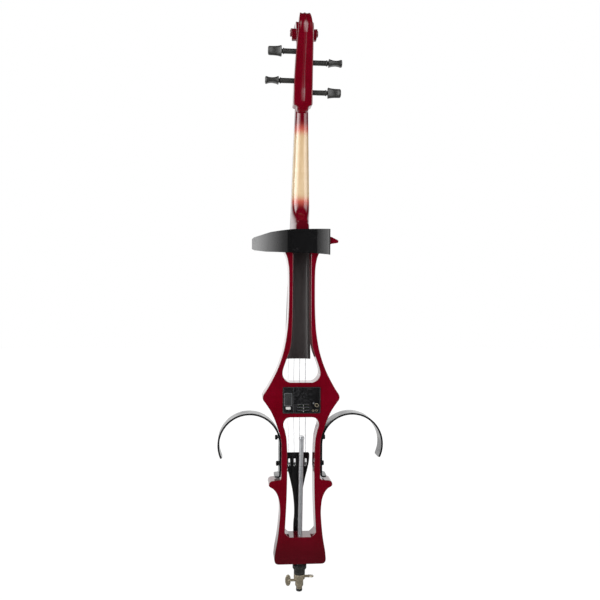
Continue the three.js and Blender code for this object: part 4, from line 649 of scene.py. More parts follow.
neck = {
    "nutHeight": 1120, "glueAtNut": 43.5, "lean": 0.0997, "widthAtNut": 30.5, "widthGain": 32.5 / 592.1,
    # height, depth behind the fingerboard, share of the back's own half width, how square
    "stations": [(1126.5, 22.5, 0.0, 0.8), (1086, 22.5, 0.0, 0.8), (1035, 23.2, 0.0, 0.8),
                 (983.8, 24, 0.0, 0.79), (940, 25.1, 0.0, 0.77), (911, 26.6, 0.02, 0.74),
                 (893, 29.4, 0.1, 0.7), (880, 34.5, 0.25, 0.65), (868.4, 43.5, 0.5, 0.6),
                 (859, 57.5, 0.75, 0.56), (853, 67.8, 0.92, 0.53), (850, 71.2, 1.0, 0.52),
                 (846, 74.3, 1.0, 0.52), (841, 81.5, 1.0, 0.5), (834, 84.5, 1.0, 0.5),
                 (826.4, 85.5, 1.0, 0.5)],
    "heelHalf": 16.6, "corners": 40, "footLow": 786.3, "footHigh": 831, "footBack": 50.3,
    "footInset": 0.4,
}


def gluePlane(z):
    return neck["glueAtNut"] + (neck["nutHeight"] - z) * neck["lean"]


def neckHalf(z):
    return (neck["widthAtNut"] + neck["widthGain"] * (neck["nutHeight"] - z)) / 2


def slab(half, back, front, z):
    return [spot(x, y, z) for x, y in ((-half, back), (-half, front), (half, front), (half, back))]


def makeNeckShaft():
    rings = []
    for z, depth, share, power in flowRows(neck["stations"], 4):
        front = neckHalf(z)
        back = mix(front, neck["heelHalf"], share)
        ring = []
        for k in range(neck["corners"] + 1):
            angle = math.pi * k / neck["corners"]
            down = math.sin(angle) ** power if 0 < k < neck["corners"] else 0
            across = math.copysign(abs(math.cos(angle)) ** power, math.cos(angle))
            ring.append(spot(across * mix(front, back, down), gluePlane(z) - depth * down, z))
        rings.append(ring)
    form = opened(lofted("neckShaft", rings))
    # the heel's back is planed flat, level with the body's back
    cut = bmesh.ops.bisect_plane(form, geom=[*form.verts, *form.edges, *form.faces], dist=1e-7,
                                 plane_co=spot(0, 0, 0), plane_no=(0, -1, 0), clear_outer=True)
    rim = [e for e in cut["geom_cut"] if isinstance(e, bmesh.types.BMEdge)]
    bmesh.ops.holes_fill(form, edges=rim, sides=0)
    shaft = finishMesh(form, "neckShaft")
    low, high, behind = neck["footLow"], neck["footHigh"], neck["footBack"]
    block = []
    for z in (low, low + 1.5, mix(low, high, 0.5), high):
        half, front = neckHalf(z) - neck["footInset"], gluePlane(z)
        block.append(slab(half, behind, front, z))
    shaft = carve(shaft, lofted("neckFoot", block), "UNION")
    addPiece("neck_shaft", shaft, "body", "neck", ["neck"], edge=0.5, sharp=38, segments=2)


makeNeckShaft()


# Pegbox and scroll: one section carried up the pegbox and round the volute

scroll = {
    "eyeY": -2.5, "eyeZ": 1272.5, "radius": 46, "core": 11, "turns": 2, "power": 1.35,
    "halfWidths": [(-0.25, 16.6), (-0.1, 12.4), (0, 10.6), (0.25, 13.5), (0.5, 18.5), (0.75, 20), (1, 20.2),
                   (1.25, 24.5), (1.5, 28), (1.75, 29), (2, 31)],
    # height, back, front, half width, depth of the flutes, size of the chamfer
    "pegbox": [(1098.6, 25, 30, 5.5, 0, 3.5), (1100.2, 19, 34, 9.8, 0, 4.5), (1103, 14, 38, 12.6, 0, 5),
               (1107, 9.6, 41, 13.5, 0, 5), (1110.6, 7.4, 43, 13.9, 0, 4),
               (1112.6, 6.6, 43.5, 16.4, 0.06, 3.4), (1114, 6.3, 43.5, 19.9, 0.12, 3),
               (1116.4, 5.6, 43.5, 21.8, 0.25, 3), (1121, 5.2, 43.4, 22.2, 0.6, 3),
               (1127.6, 5.1, 42.7, 22.1, 1.1, 3), (1150.5, 1.6, 35.9, 21.7, 1.4, 3),
               (1175.5, -5, 26.5, 21.2, 1, 3), (1200.8, -15.1, 14.4, 20.4, 0.85, 3),
               (1220.5, -25.1, 2.6, 19.8, 0.85, 3), (1236.2, -33.8, -4.6, 19, 0.85, 2.8),
               (1250.2, -41.9, -14, 18.1, 0.85, 2.5), (1263.4, -47.4, -24, 17.2, 0.85, 2)],
    "fluteAcross": [(0, 0), (0.02, 0.02), (0.06, 0.14), (0.1, 0.31), (0.15, 0.49), (0.23, 0.7), (0.34, 0.9),
                    (0.46, 1), (0.62, 0.9), (0.8, 0.66), (1, 0.36)],
    "cavity": {"low": 1126.6, "high": 1236.7, "wall": 4.8, "halfLow": 13.5, "halfHigh": 11, "front": 48},
    "eyeButton": 7.5, "eyeReach": 32, "ringsPerTurn": 34, "chamfer": 1.3, "flute": (1.9, 1.1), "gap": 2.5,
}


def voluteRadius(turns):
    fall = (1 - min(max(turns, 0), scroll["turns"]) / scroll["turns"]) ** scroll["power"]
    return scroll["core"] + (scroll["radius"] - scroll["core"]) * fall


def sectionAcross(half, flute, chamfer):
    # (across, how far under the outer line) from one side to the other
    reach = half - chamfer
    right = [(reach * t, flute * deep) for t, deep in scroll["fluteAcross"]]
    right += [(half - chamfer * 0.28, right[-1][1] + chamfer * 0.3), (half, right[-1][1] + chamfer)]
    return [(-x, d) for x, d in reversed(right[1:])] + right


def makeScroll():
    rings = []
    for z, back, front, half, flute, chamfer in flowRows(scroll["pegbox"], 3):
        line = sectionAcross(half, max(flute, 0), chamfer)
        ring = [spot(x, back + d, z) for x, d in line]
        ring += [spot(half, front, z), spot(-half, front, z)]
        rings.append(ring)
    # the volute begins a quarter turn before its first height
    eyeY, eyeZ = scroll["eyeY"], scroll["eyeZ"]
    for k in range(int(scroll["ringsPerTurn"] * (scroll["turns"] + 0.25)) + 1):
        turns = -0.25 + k / scroll["ringsPerTurn"]
        half = levelAt(scroll["halfWidths"], turns)
        outer = voluteRadius(turns)
        inner = max(voluteRadius(turns + 1) - scroll["gap"], 3) if turns < 1 else 3
        line = sectionAcross(half, mix(*scroll["flute"], min(max(turns, 0), 1)), scroll["chamfer"])
        sine, cosine = math.sin(tau * turns), math.cos(tau * turns)
        reaches = [(x, outer - d) for x, d in line] + [(half, inner), (-half, inner)]
        rings.append([spot(x, eyeY + r * sine, eyeZ + r * cosine) for x, r in reaches])
    carved = lofted("scroll", rings)
    cavity = scroll["cavity"]
    hollow = []
    for k in range(25):
        z = mix(cavity["low"], cavity["high"], k / 24)
        half = mix(cavity["halfLow"], cavity["halfHigh"], k / 24)
        back = levelAt([row[:2] for row in scroll["pegbox"]], z) + cavity["wall"]
        hollow.append(slab(half, back, cavity["front"], z))
    carved = carve(carved, lofted("cavity", hollow), wound=True)
    reach, radius = scroll["eyeReach"], scroll["eyeButton"]
    button = softened([(0, -reach), (radius, -reach), (radius, reach), (0, reach)], 2.2)
    eye = spun("eye", button, spot(0, eyeY, eyeZ), (1, 0, 0), 40)
    addPiece("pegbox_and_scroll", joined("scroll", [carved, eye]), "body", "neck", ["neck"], sharp=42)


makeScroll()
print("neck and scroll done")


# Fingerboard: cambered, hollowed under its free end

fingerboard = {
    "low": 527.9, "heights": (600, 680, 745, 770, 782, 900, 1010, 1119.7), "overNeck": 0.3, "edge": 6.5,
    "camber": 65, "corners": 24, "rim": 0.6,
    # height and depth of the hollow
    "hollow": [(700, 7), (782, 0.02)],
}


def camberAt(half, x):
    # how far the camber at x stands over where it is at half
    radius = fingerboard["camber"]
    return math.sqrt(radius ** 2 - x ** 2) - math.sqrt(radius ** 2 - half ** 2)


def makeFingerboard():
    sizes = fingerboard
    low, edge, corners, rim = sizes["low"], sizes["edge"], sizes["corners"], sizes["rim"]
    rings = []
    for z in (low, low + 1, *sizes["heights"]):
        half = neckHalf(z)
        base = gluePlane(z) + sizes["overNeck"]
        rise = levelAt(sizes["hollow"], z)
        top = base + edge - (1 if z == low else 0)
        places = [half * (1 - 2 * k / corners) for k in range(corners + 1)]
        under = [math.pi * k / 16 for k in range(17)]
        ring = [*[(x, top + camberAt(half, x)) for x in places], (rim - half, base),
                *[((edge - half) * math.cos(a), base + rise * math.sin(a)) for a in under],
                (half - rim, base)]
        rings.append([spot(x, y, z) for x, y in ring])
    addPiece("fingerboard_ebony", lofted("fingerboard", rings), "body", "ebony", ["fingerboard"], edge=0.5,
             sharp=32, segments=2)


makeFingerboard()


# Pegs: turned shaft and collar, carved head with hollow cheeks

pegs = {
    "a": {"side": -1, "y": 10.1, "z": 1169, "tip": 87, "upright": False},
    "d": {"side": -1, "y": -13.84, "z": 1228.5, "tip": 82, "upright": True},
    "g": {"side": 1, "y": -5, "z": 1206.6, "tip": 87, "upright": False},
    "c": {"side": 1, "y": 16.81, "z": 1145, "tip": 87.87, "upright": True},
}
pegForm = {
    "head": 31, "halfWidth": 12.5, "halfThickness": 9, "corners": 28, "square": (0.75, 0.85),
    "hollowing": 0.55,
    "shaft": [(4.6, 0.5), (5.9, 22.8), (5.8, 30), (5.9, 40), (5.9, 44)], "stub": 1,
    # radius and distance from where the head begins
    "collar": [(5.9, -5.4), (6.6, -5), (7, -4.2), (7, -3.4), (6.6, -2.7), (5.4, -2.2), (4.7, -1.6),
               (4.6, 1.2), (0, 1.2)],
    # along the head, half width, half thickness, how hollow the cheeks are
    "stations": [(0, 0.5, 0.6, 0), (0.004, 0.84, 0.86, 0), (0.02, 0.97, 0.98, 0), (0.045, 1, 1, 0.02),
                 (0.1, 0.96, 0.92, 0.08), (0.28, 0.88, 0.77, 0.25), (0.5, 0.83, 0.68, 0.35),
                 (0.7, 0.81, 0.76, 0.3), (0.84, 0.8, 0.89, 0.12), (0.92, 0.77, 0.94, 0.04),
                 (0.97, 0.68, 0.86, 0), (0.992, 0.54, 0.68, 0), (1, 0.36, 0.44, 0)],
}


def makePeg(name, side, y, z, tip, upright):
    headStart = tip - pegForm["head"]
    squareA, squareB = pegForm["square"]
    end = pegForm["stub"] - levelAt([(row[0], row[3]) for row in scroll["pegbox"]], z)
    shaft = [(0, end), (4.2, end), (4.6, end + 0.5), *[p for p in pegForm["shaft"] if p[1] < headStart - 6]]
    collar = [(r, headStart + along) for r, along in pegForm["collar"]]
    turned = spun("pegShaft", shaft + collar, spot(0, y, z), (side, 0, 0), 40)
    rings = []
    for along, wide, thick, hollow in flowRows(pegForm["stations"], 3):
        x = side * (headStart + along * pegForm["head"])
        ring = []
        for k in range(pegForm["corners"]):
            c, s = math.cos(tau * k / pegForm["corners"]), math.sin(tau * k / pegForm["corners"])
            across = math.copysign(abs(c) ** squareA, c) * wide * pegForm["halfWidth"]
            deep = math.copysign(abs(s) ** squareB, s) * thick * pegForm["halfThickness"]
            deep *= 1 - hollow * pegForm["hollowing"] * s ** 4
            ring.append(spot(x, y + deep, z + across) if upright else spot(x, y + across, z + deep))
        rings.append(ring)
    peg = joined("peg", [turned, lofted("pegHead", rings)])
    addPiece(f"peg_{name}_turned", peg, f"peg_{name}_body", "peg", [f"peg_{name}"], sharp=40)


for name, peg in pegs.items():
    makePeg(name, **peg)
print("fingerboard and pegs done")


# Bridge, with its heart and side cuts

bridge = {
    "low": 52.4, "height": 80, "half": 45, "station": 433.9, "foot": 5.5, "top": 1.4,
    "outline": [(0.36, 0), (0.98, 0), (1, 0.045), (0.84, 0.12), (0.7, 0.2), (0.66, 0.34), (0.84, 0.47),
                (0.86, 0.55), (0.66, 0.585), (0.49, 0.63), (0.52, 0.7), (0.78, 0.76), (0.82, 0.81),
                (0.74, 0.87), (0.6, 0.935)],
    "arch": [(0, 0.37), (0.14, 0.37), (0.25, 0.25), (0.3, 0.06)],
    "heart": [(0, 0.5), (0.1, 0.56), (0.17, 0.64), (0.12, 0.69), (0.04, 0.67), (0, 0.645)],
}


def makeBridge():
    sizes = bridge

    def place(pairs):
        return [Vector((x * sizes["half"], sizes["low"] + y * sizes["height"])) for x, y in pairs]

    topHalf, top = sizes["outline"][-1][0] * sizes["half"], sizes["low"] + sizes["height"]
    crown = [Vector((x, top + camberAt(0, x))) for x in (topHalf * (1 - k / 8) for k in range(9))]
    half = flow(place(sizes["arch"]), 4) + softened(place(sizes["outline"]), 3) + crown
    outlines = [softened(bothSides(half), 1.2, 3, closed=True), bothSides(flow(place(sizes["heart"]), 5))]
    mesh = plateFrom("bridge", outlines, -sizes["foot"], sizes["foot"], 0.5, "top", 2)
    for vert in mesh.vertices:
        rise = (vert.co.y / mm + backFromTip - sizes["low"]) / sizes["height"]
        lean = mix(1, sizes["top"] / sizes["foot"], rise)
        vert.co.z = vert.co.z * lean + sizes["station"] * mm
    addPiece("bridge_carved", mesh, "body", "bridge", ["bridge"], sharp=38)


makeBridge()


# Tailpiece with its four fine tuners

tailpiece = {
    "foot": (0, 63, 85), "lean": 7.5, "length": 222, "half": 29, "thickness": 7, "crown": 1.4,
    "outline": [(0.31, 0), (0.36, 0.03), (0.365, 0.24), (0.3, 0.34), (0.29, 0.42), (0.325, 0.5),
                (0.42, 0.6), (0.51, 0.66), (0.69, 0.76), (0.83, 0.83), (0.94, 0.89), (0.995, 0.95),
                (0.985, 0.985), (0.9, 1)],
    "tuners": {"a": -19.8, "d": -6.6, "g": 6.6, "c": 19.8}, "slot": (-2, -6.5, 2, 11.5), "slotZ": 196,
    "screwZ": 179, "cutsUp": range(10, 220, 10), "cutsAcross": (-24, -16, -11, -3, 0, 3, 11, 16, 24),
}
leaning = Matrix.Rotation(-math.radians(tailpiece["lean"]), 4, "X")


def onTail(x, y, z):
    place = Vector(tailpiece["foot"]) + leaning @ Vector((x, y, z))
    return spot(*place)


def makeTailpiece():
    sizes = tailpiece
    half = flow([(x * sizes["half"], z * sizes["length"]) for x, z in sizes["outline"]], 5)
    slots = [[Vector((x + p.x, sizes["slotZ"] + p.y)) for p in roundedBox(*sizes["slot"], 1, 3)]
             for x in sizes["tuners"].values()]
    form = opened(plateFrom("tailpiece", [bothSides(half), *slots], 0, sizes["thickness"], 1.5))
    cutAcross(form, sizes["cutsUp"], 2)
    cutAcross(form, sizes["cutsAcross"], 0)
    mesh = finishMesh(form, "tailpiece")
    # the front is crowned between its straight rims, then the whole leans against the saddle
    widths = [(b * sizes["length"], a * sizes["half"]) for a, b in sizes["outline"]]
    for vert in mesh.vertices:
        x, y, z = (c / mm for c in vert.co)
        y += backFromTip
        if y > 0.6 * sizes["thickness"]:
            y -= sizes["crown"] * min(1, (x / max(levelAt(widths, z), 1)) ** 2)
        vert.co = onTail(x, y, z)
    addPiece("tailpiece_moulded", mesh, "body", "plastic", ["tailpiece"], sharp=40)


def knurled(radius, profile, start, axis, ridges, depth, perRidge=4):
    # a turned knob whose rim is cut into ridges, from rows of share of the radius, distance along and
    # share of the cut
    axis = Vector(axis).normalized()
    side = axis.orthogonal().normalized()
    across = axis.cross(side)
    rings = []
    corners = ridges * perRidge
    for wide, along, cut in profile:
        ring = []
        for k in range(corners):
            c, s = math.cos(tau * k / corners), math.sin(tau * k / corners)
            r = radius * wide * (1 - (depth * cut if k % perRidge < perRidge / 2 else 0))
            ring.append(start + (side * c * r + across * s * r + axis * along) * mm)
        rings.append(ring)
    return lofted("knob", rings)


tunerKnob = {
    "radius": 4.2, "low": 7.3, "high": 13.8, "ridges": 16, "tip": -1.2, "thread": 1.6, "root": 1.38,
    "pitch": 0.8, "turns": 9,
}


def makeTuners():
    sizes = tunerKnob
    low, high, radius, tip, thread = (sizes[part] for part in ("low", "high", "radius", "tip", "thread"))
    rim = [(0.72, low, 0), (0.9, low + 0.3, 0), (1, low + 0.9, 1), (1, high - 1.3, 1), (0.92, high - 0.5, 0),
           (0.72, high, 0)]
    line = [(0, tip), (1.2, tip), (thread, tip + 0.5)]
    for k in range(sizes["turns"]):
        crest = tip + (k + 1) * sizes["pitch"]
        line += [(thread, crest), (sizes["root"], crest + sizes["pitch"] / 2)]
    line += [(thread, low + 0.2), (0, low + 0.2)]
    front = leaning @ Vector((0, 1, 0))
    for name, x in tailpiece["tuners"].items():
        start = onTail(x, 0, tailpiece["screwZ"])
        knob = knurled(radius, rim, start, front, sizes["ridges"], 0.06)
        screw = joined("tuner", [knob, spun("shank", line, start, front, 20)])
        addPiece(f"tuner_knob_{name}", screw, f"tuner_screw_{name}", "blackMetal",
                 [f"fine_tuner_screw_{name}"], sharp=34)
        addPlain(f"tuner_fork_{name}", f"fine_tuner_lever_{name}", f"tuner_lever_{name}", "blackMetal", 0.28)


makeTailpiece()
makeTuners()
print("bridge, tailpiece and tuners done")


# Endpin: plug, collar, rod, tip and its two winged clamp screws

endpin = {
    "tilt": 5.57, "foot": (0, 23, 0), "highTurn": 18, "wingHalf": 1.8,
    "wing": [(20, -7.7), (24.4, -14), (30, -11.9), (32.5, -4.2), (32.5, 4.2), (30, 11.9), (24.4, 14),
             (20, 7.7)],
    # side, height on the pin, where its face begins, whether the wing stands edge on
    "clamps": {"left": (-1, 25.6, 9.3, False), "right": (1, 34.6, 12.8, True)},
    "clampScrew": [(2.9, 19.6), (3.3, 20.2), (3.3, 22.2), (2.6, 23.6), (2.2, 26.6), (0, 26.6)],
    # the turned parts, by radius and height along the pin
    "plug": [(5.3, 98.5), (5.3, 61.8), (7.7, 61.8), (7.7, 41.5), (12.3, 41.5), (12.8, 42), (12.8, 51.4),
             (13.2, 52), (15.4, 55), (16, 56), (16, 63.3), (13.6, 63.4), (13.6, 66.2), (16, 66.3),
             (15.4, 66.35), (11.8, 66.4), (11.5, 98.5), (5.3, 98.5)],
    "collar": [(5.3, 6.3), (6.6, 6.3), (6.9, 6.7), (7.1, 10.6), (8.2, 12.5), (9, 13.2), (9.3, 14.2),
               (9.3, 27.9), (9.5, 28.6), (10.4, 28.9), (12.4, 30), (12.8, 30.6), (12.8, 31.4), (12.5, 31.7),
               (12.5, 32.1), (12.8, 32.4), (12.8, 40.1), (12.4, 40.7), (11.8, 41.1), (7.4, 41.1),
               (7.4, 61.4), (5.3, 61.4), (5.3, 6.3)],
    "rod": [(0, 4.3), (4.2, 4.3), (5, 5.3), (5, 357), (5.2, 357.2), (6, 357.5), (6.2, 358), (6.2, 360.4),
            (6, 360.9), (5.2, 361.2), (5, 361.5), (5, 363.6), (4.4, 364.6), (3.8, 365), (0, 365)],
    "tip": [(0, 4), (5.2, 4), (5.3, 4.2), (5.3, 5.6), (6.4, 5.7), (7, 5.2), (7.2, 4.6), (7.2, 2.6),
            (6.8, 1.2), (5.9, 0.3), (5.2, 0), (0, 0)],
}
endpinTurn = Matrix.Rotation(math.radians(endpin["tilt"]), 4, "X")
endpinUp = endpinTurn @ Vector((0, 0, 1))
endpinFoot = spot(*endpin["foot"])


def makeClamp(name, side, height, face, edgeOn):
    half = endpin["wingHalf"]
    line = [(0, 5.4), (1.4, 5.4), (1.75, 5.8), (1.75, face + 0.4), (2.9, face + 0.4), *endpin["clampScrew"]]
    shaft = spun("clampShaft", line, endpinFoot + endpinUp * height * mm, (side, 0, 0), 28)
    outline = [Vector((side * p.x, p.y)) for p in softened(endpin["wing"], 3.2, closed=True)]
    wing = plateFrom("wing", [outline], -half, half, 0.7, "back", 3)
    wing.transform(Matrix.Translation((0, backFromTip * mm, 0)))
    if edgeOn:
        # the wing is thinner near its shaft
        wing.transform(Matrix.Rotation(math.radians(90), 4, "X"))
        for vert in wing.vertices:
            vert.co.z *= levelAt([(20, 0.72), (32.5, 1)], abs(vert.co.x) / mm)
        wing.transform(Matrix.Rotation(-math.radians(endpin["highTurn"]), 4, "X"))
    wing.transform(Matrix.Translation(endpinFoot) @ endpinTurn @ Matrix.Translation((0, 0, height * mm)))
    addPiece(f"clamp_{name}", joined("clamp", [shaft, wing]), f"clamp_screw_{name}", "nickel",
             [f"endpin_clamp_screw_{name}"], sharp=34)


def makeEndpin():
    for part, ending, body, look, steps, sharp in (
            ("plug", "turned", "body", "peg", 56, 34), ("collar", "turned", "body", "nickel", 56, 30),
            ("rod", "ground", "endpin", "steel", 40, 30), ("tip", "rubber", "endpin", "rubber", 40, 40)):
        mesh = spun(part, endpin[part], endpinFoot, endpinUp, steps)
        addPiece(f"{part}_{ending}", mesh, body, look, [f"endpin_{part}"], sharp=sharp)
    for name, sizes in endpin["clamps"].items():
        makeClamp(name, *sizes)


makeEndpin()
print("endpin done")


# Knee rests: a bent strip of coated metal on each side, held by two thumb screws

kneeRest = {
    "radius": 70, "thickness": 4, "width": 48, "fromBack": 1, "sweep": 206, "centreX": 117.04,
    "centreZ": 340.44, "footZ": 267.54, "footX": 59.54, "footBend": 5, "cornerRadius": 9, "edge": 0.4,
    "legHeights": (290, 310, 326),
    "screws": {"upper": 353.94, "lower": 293.94},
}


def makeKneeRests():
    sizes = kneeRest
    footX, footZ, footBend = sizes["footX"], sizes["footZ"], sizes["footBend"]
    legX = sizes["centreX"] - sizes["radius"]
    path = [Vector((footX, footZ)),
            *bend((legX + footBend, footZ), (legX, footZ), (legX, footZ + footBend), 8),
            *[Vector((legX, z)) for z in sizes["legHeights"]],
            *arc(sizes["centreX"], sizes["centreZ"], sizes["radius"], 0.5, 0.5 - sizes["sweep"] / 360, 60)]
    for side, name in ((-1, "left"), (1, "right")):
        form = bmesh.new()
        verts = [form.verts.new(spot(side * p.x, sizes["fromBack"], p.y)) for p in path]
        edges = [form.edges.new(pair) for pair in zip(verts, verts[1:])]
        strip = bmesh.ops.extrude_edge_only(form, edges=edges)["geom"]
        far = [v for v in strip if isinstance(v, bmesh.types.BMVert)]
        bmesh.ops.translate(form, vec=(0, sizes["width"] * mm, 0), verts=far)
        ends = [v for v in form.verts if len(v.link_edges) == 2]
        bmesh.ops.bevel(form, geom=ends, offset=sizes["cornerRadius"] * mm, offset_type="OFFSET", segments=5,
                        profile=0.5, affect="VERTICES", material=-1)
        bmesh.ops.recalc_face_normals(form, faces=form.faces)
        strip = carriedBy(written(form, "kneeRest"))
        wall = strip.modifiers.new("wall", "SOLIDIFY")
        wall.thickness = sizes["thickness"] * mm
        wall.offset = 0
        solid = asMesh(strip, "kneeRest")
        bpy.data.objects.remove(strip)
        addPiece(f"knee_rest_{name}_bent", solid, "body", "blackMetal", [f"knee_rest_{name}"],
                 edge=sizes["edge"], sharp=40)


kneeKnob = {"radius": 5.5, "length": 6, "ridges": 18, "cut": 0.08, "screw": 2.4, "y": 25}


def makeKneeScrews():
    sizes = kneeKnob
    screw = sizes["screw"]
    for side, hand in ((-1, "left"), (1, "right")):
        for level, z in kneeRest["screws"].items():
            low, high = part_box(f"knee_screw_{level}_{hand}")
            inner, outer = sorted(abs(end.x) / mm for end in (low, high))
            face = outer - sizes["length"]
            start, axis = spot(0, sizes["y"], z), (side, 0, 0)
            rim = [(0.7, face, 0), (0.9, face + 0.1, 0), (1, face + 0.8, 1), (1, outer - 1.1, 1),
                   (0.94, outer - 0.4, 0), (0.8, outer, 0), (0.45, outer, 0), (0.4, outer - 0.6, 0)]
            line = [(0, inner), (screw - 0.4, inner), (screw, inner + 0.5), (screw, face + 1), (0, face + 1)]
            knob = knurled(sizes["radius"], rim, start, axis, sizes["ridges"], sizes["cut"])
            turned = joined("thumbScrew", [knob, spun("screw", line, start, axis, 24)])
            addPiece(f"thumb_screw_{level}_{hand}", turned, f"knee_thumb_screw_{level}_{hand}", "plastic",
                     [f"knee_screw_{level}_{hand}"], sharp=34)
            addPlain(f"insert_{level}_{hand}", f"knee_insert_{level}_{hand}", "body", "brass", 0.3)


makeKneeRests()
makeKneeScrews()
print("knee rests done")


# Chest rest and the dovetail rail it slides on

chestPlate = {
    "cuts": (-34.5, 31.5, 32, 32.6, 35, 38, 41, 44, 47, 50, 53, 56),
    # where the wings begin, how steeply they turn away there, and how that grows
    "right": (32, 0.11, 0.0022), "left": (-35, 0.12, 79),
}


def makeChestPlate():
    # flat in the middle, with a wing on each side that turns away from the player's back
    form = opened(merged("chest_rest"))
    cutAcross(form, chestPlate["cuts"], 0)
    start, slope, growth = chestPlate["right"]
    end, lean, span = chestPlate["left"]
    for vert in form.verts:
        x = vert.co.x / mm
        right, left = max(x - start, 0), max(end - x, 0)
        vert.co.y += (right * slope + right ** 2 * growth + left * lean * (1 - left / span)) * mm
    addPiece("chest_plate", finishMesh(form, "chestPlate"), "chest_rest_plate", "plastic", ["chest_rest"],
             edge=1.1, sharp=30, segments=4)


makeChestPlate()
addPlain("rail_moulded", "chest_rest_rail", "body", "textured", 0.5)
addPlain("rail_screw_head", "chest_rest_rail_screw", "body", "blackMetal", 0.3)


# Preamp: housing, door, sliders, button, jacks and what is inside

for row in (("preamp_case", "preamp_housing", "body", "textured", 0.4),
            ("door_moulded", "battery_door", "door", "textured", 0.3),
            *[(f"slider_cap_{k}", f"tone_slider_{k}", f"slider_{k}", "plastic", 0.3) for k in (1, 2, 3)],
            ("button_moulded", "power_button", "button", "grey", 0.2),
            *[(f"{jack}_jack_barrel", f"{jack}_jack", "body", "nickel", 0.2)
              for jack in ("output", "headphone", "aux")],
            ("board_assembled", "circuit_board", "body", "board", 0.15),
            ("battery_cased", "battery", "body", "battery", 0.4)):
    addPlain(*row)

# Trim on the panel: a raised rim, the door's ribbed grip and latch, and the scales of the sliders. The rim,
# the door's seam, the latch and a line on each slider cap are painted highlights, lighter than the panel.
panelTrim = {
    "face": -2.5, "rise": 0.3, "rim": (-41.9, 413.0, 42.9, 471.8), "rimWidth": 1.0, "corner": 2.2,
    "seamX": (-18.0, -17.3), "grip": (-38.8, 429.3, -21.2, 458.8), "gripFrame": 0.9, "ribs": 11,
    "latch": (-35.6, 421.4, -24.2, 427.5), "scale": (-9, 17.5), "scaleRise": 2.1, "scaleWidth": 0.7,
    "sliders": (430.66, 424.06, 417.46), "capHighlight": 0.8,
}


def trimPiece(name, body, look, *outlines):
    face, rise = panelTrim["face"], panelTrim["rise"]
    mesh = plateFrom(name, outlines, face - rise, face + rise, 0.12, segments=2)
    addPiece(name, mesh, body, look, sharp=40)


def framed(box, wall, radius, inner):
    x0, z0, x1, z1 = box
    return roundedBox(*box, radius), roundedBox(x0 + wall, z0 + wall, x1 - wall, z1 - wall, inner)


def makePanelTrim():
    sizes = panelTrim
    _, low, _, high = sizes["rim"]
    wall = sizes["rimWidth"]
    corner = sizes["corner"]
    # the rim, lighter than the panel, is a painted edge highlight
    trimPiece("panel_rim_highlight", "body", "ribsAndHighlightLines", *framed(sizes["rim"], wall, corner, corner - wall))
    # the door's seam, a lighter line, is a painted edge highlight
    left, right = sizes["seamX"]
    trimPiece("door_seam_highlight", "body", "ribsAndHighlightLines", roundedBox(left, low + wall, right, high - wall, 0.2, 2))
    wall = sizes["gripFrame"]
    trimPiece("grip_frame", "door", "grey", *framed(sizes["grip"], wall, 1.5, 0.8))
    x0, z0, x1, z1 = sizes["grip"]
    pitch = (z1 - z0 - 2 * wall) / sizes["ribs"]
    inset, start = wall + 0.3, z0 + wall
    trimPiece("grip_ribs", "door", "ribsAndHighlightLines", *[
        roundedBox(x0 + inset, start + (k + 0.12) * pitch, x1 - inset, start + (k + 0.88) * pitch, 0.4, 2)
        for k in range(sizes["ribs"])])
    # the pale latch is a painted highlight
    trimPiece("door_latch_highlight", "door", "pale", roundedBox(*sizes["latch"], 2.4))
    near, far = sizes["scale"]
    for number, z in enumerate(sizes["sliders"], 1):
        mark = z + sizes["scaleRise"]
        trimPiece(f"scale_{number}", "body", "grey",
                  roundedBox(near, mark, far, mark + sizes["scaleWidth"], 0.2, 2))
        # a pale line along each slider cap is a painted highlight
        low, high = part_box(f"tone_slider_{number}")
        middle, half = (low.x + high.x) / 2 / mm, sizes["capHighlight"] / 2
        top = low.y / mm + backFromTip
        line = roundedBox(middle - half, low.z / mm + 0.3, middle + half, high.z / mm - 0.3, 0.2, 2)
        line = plateFrom(f"capHighlight{number}", [line], top - 0.15, top + 0.2, 0.08)
        addPiece(f"slider_highlight_line_{number}", line, f"slider_{number}", "pale", sharp=40)


makePanelTrim()
print("preamp done")


# Nut, saddle, pickup, cable, tail cord and strings

for row in (("nut_filed", "nut", "body", "ebony", 0.3), ("saddle_shaped", "saddle", "body", "ebony", 0.8),
            ("pickup_strip", "bridge_pickup", "body", "brass", 0.2),
            ("cable_sleeved", "pickup_cable", "body", "plastic", 0, 50),
            ("tail_cord_laid", "tail_cord", "body", "plastic", 0, 50)):
    addPlain(*row)

# colour of the silk and pitch of the winding
strings = {
    "a": ((150, 20, 40), 0.5), "d": ((30, 80, 150), 0.55),
    "g": ((40, 120, 60), 0.6), "c": ((110, 40, 120), 0.7),
}
for name, wire in strings.items():
    looks[name] = (woundWire(f"string {name}", *wire), "steel")
    addPlain(f"string_{name}_wound", f"string_{name}", "body", name, sharp=70)
    addPlain(f"winding_{name}_wound", f"string_winding_{name}", f"peg_{name}_body", name, sharp=70)
print("strings done")


# Stage: pale floor, soft lamps, white surroundings

# What shiny things mirror: a soft box to the left and one to the right of the camera, each from one
# turn to another (in degrees, right of the camera's side), white low down behind, and dim elsewhere.
surroundings = {
    "left": (-80, -3, 9.0), "right": (17, 36, 3.8), "rightEnd": (58, 95, 0.45), "top": (0.6, 0.85),
    "bottom": (-0.22, -0.05, 0.2, 1.0), "onFloor": 0.3, "floorFrom": (0.9, 1.5), "floorNear": (-0.3, 0.9),
    "behind": (0.55, 0.92, 0.0, 1.3), "behindTop": (0.3, 0.75, 1.0, 0.25), "front": 0.01,
    "frontEnd": (-0.2, 0.35), "plain": 0.28,
}
# the floor's own grey, how much of it the camera sees as plain light, and that light by distance
floorLook = {"size": 8, "grey": 0.92, "share": 0.88, "glow": (0.8, 2.4, 1.08, 1.145)}


def seenBy(tree):
    # whether a ray comes straight from the camera, and whether it was mirrored on its way
    path = addNode(tree, "LightPath").outputs
    return path["Is Camera Ray"], maths(tree, "MAXIMUM", path["Is Glossy Ray"], path["Is Transmission Ray"])


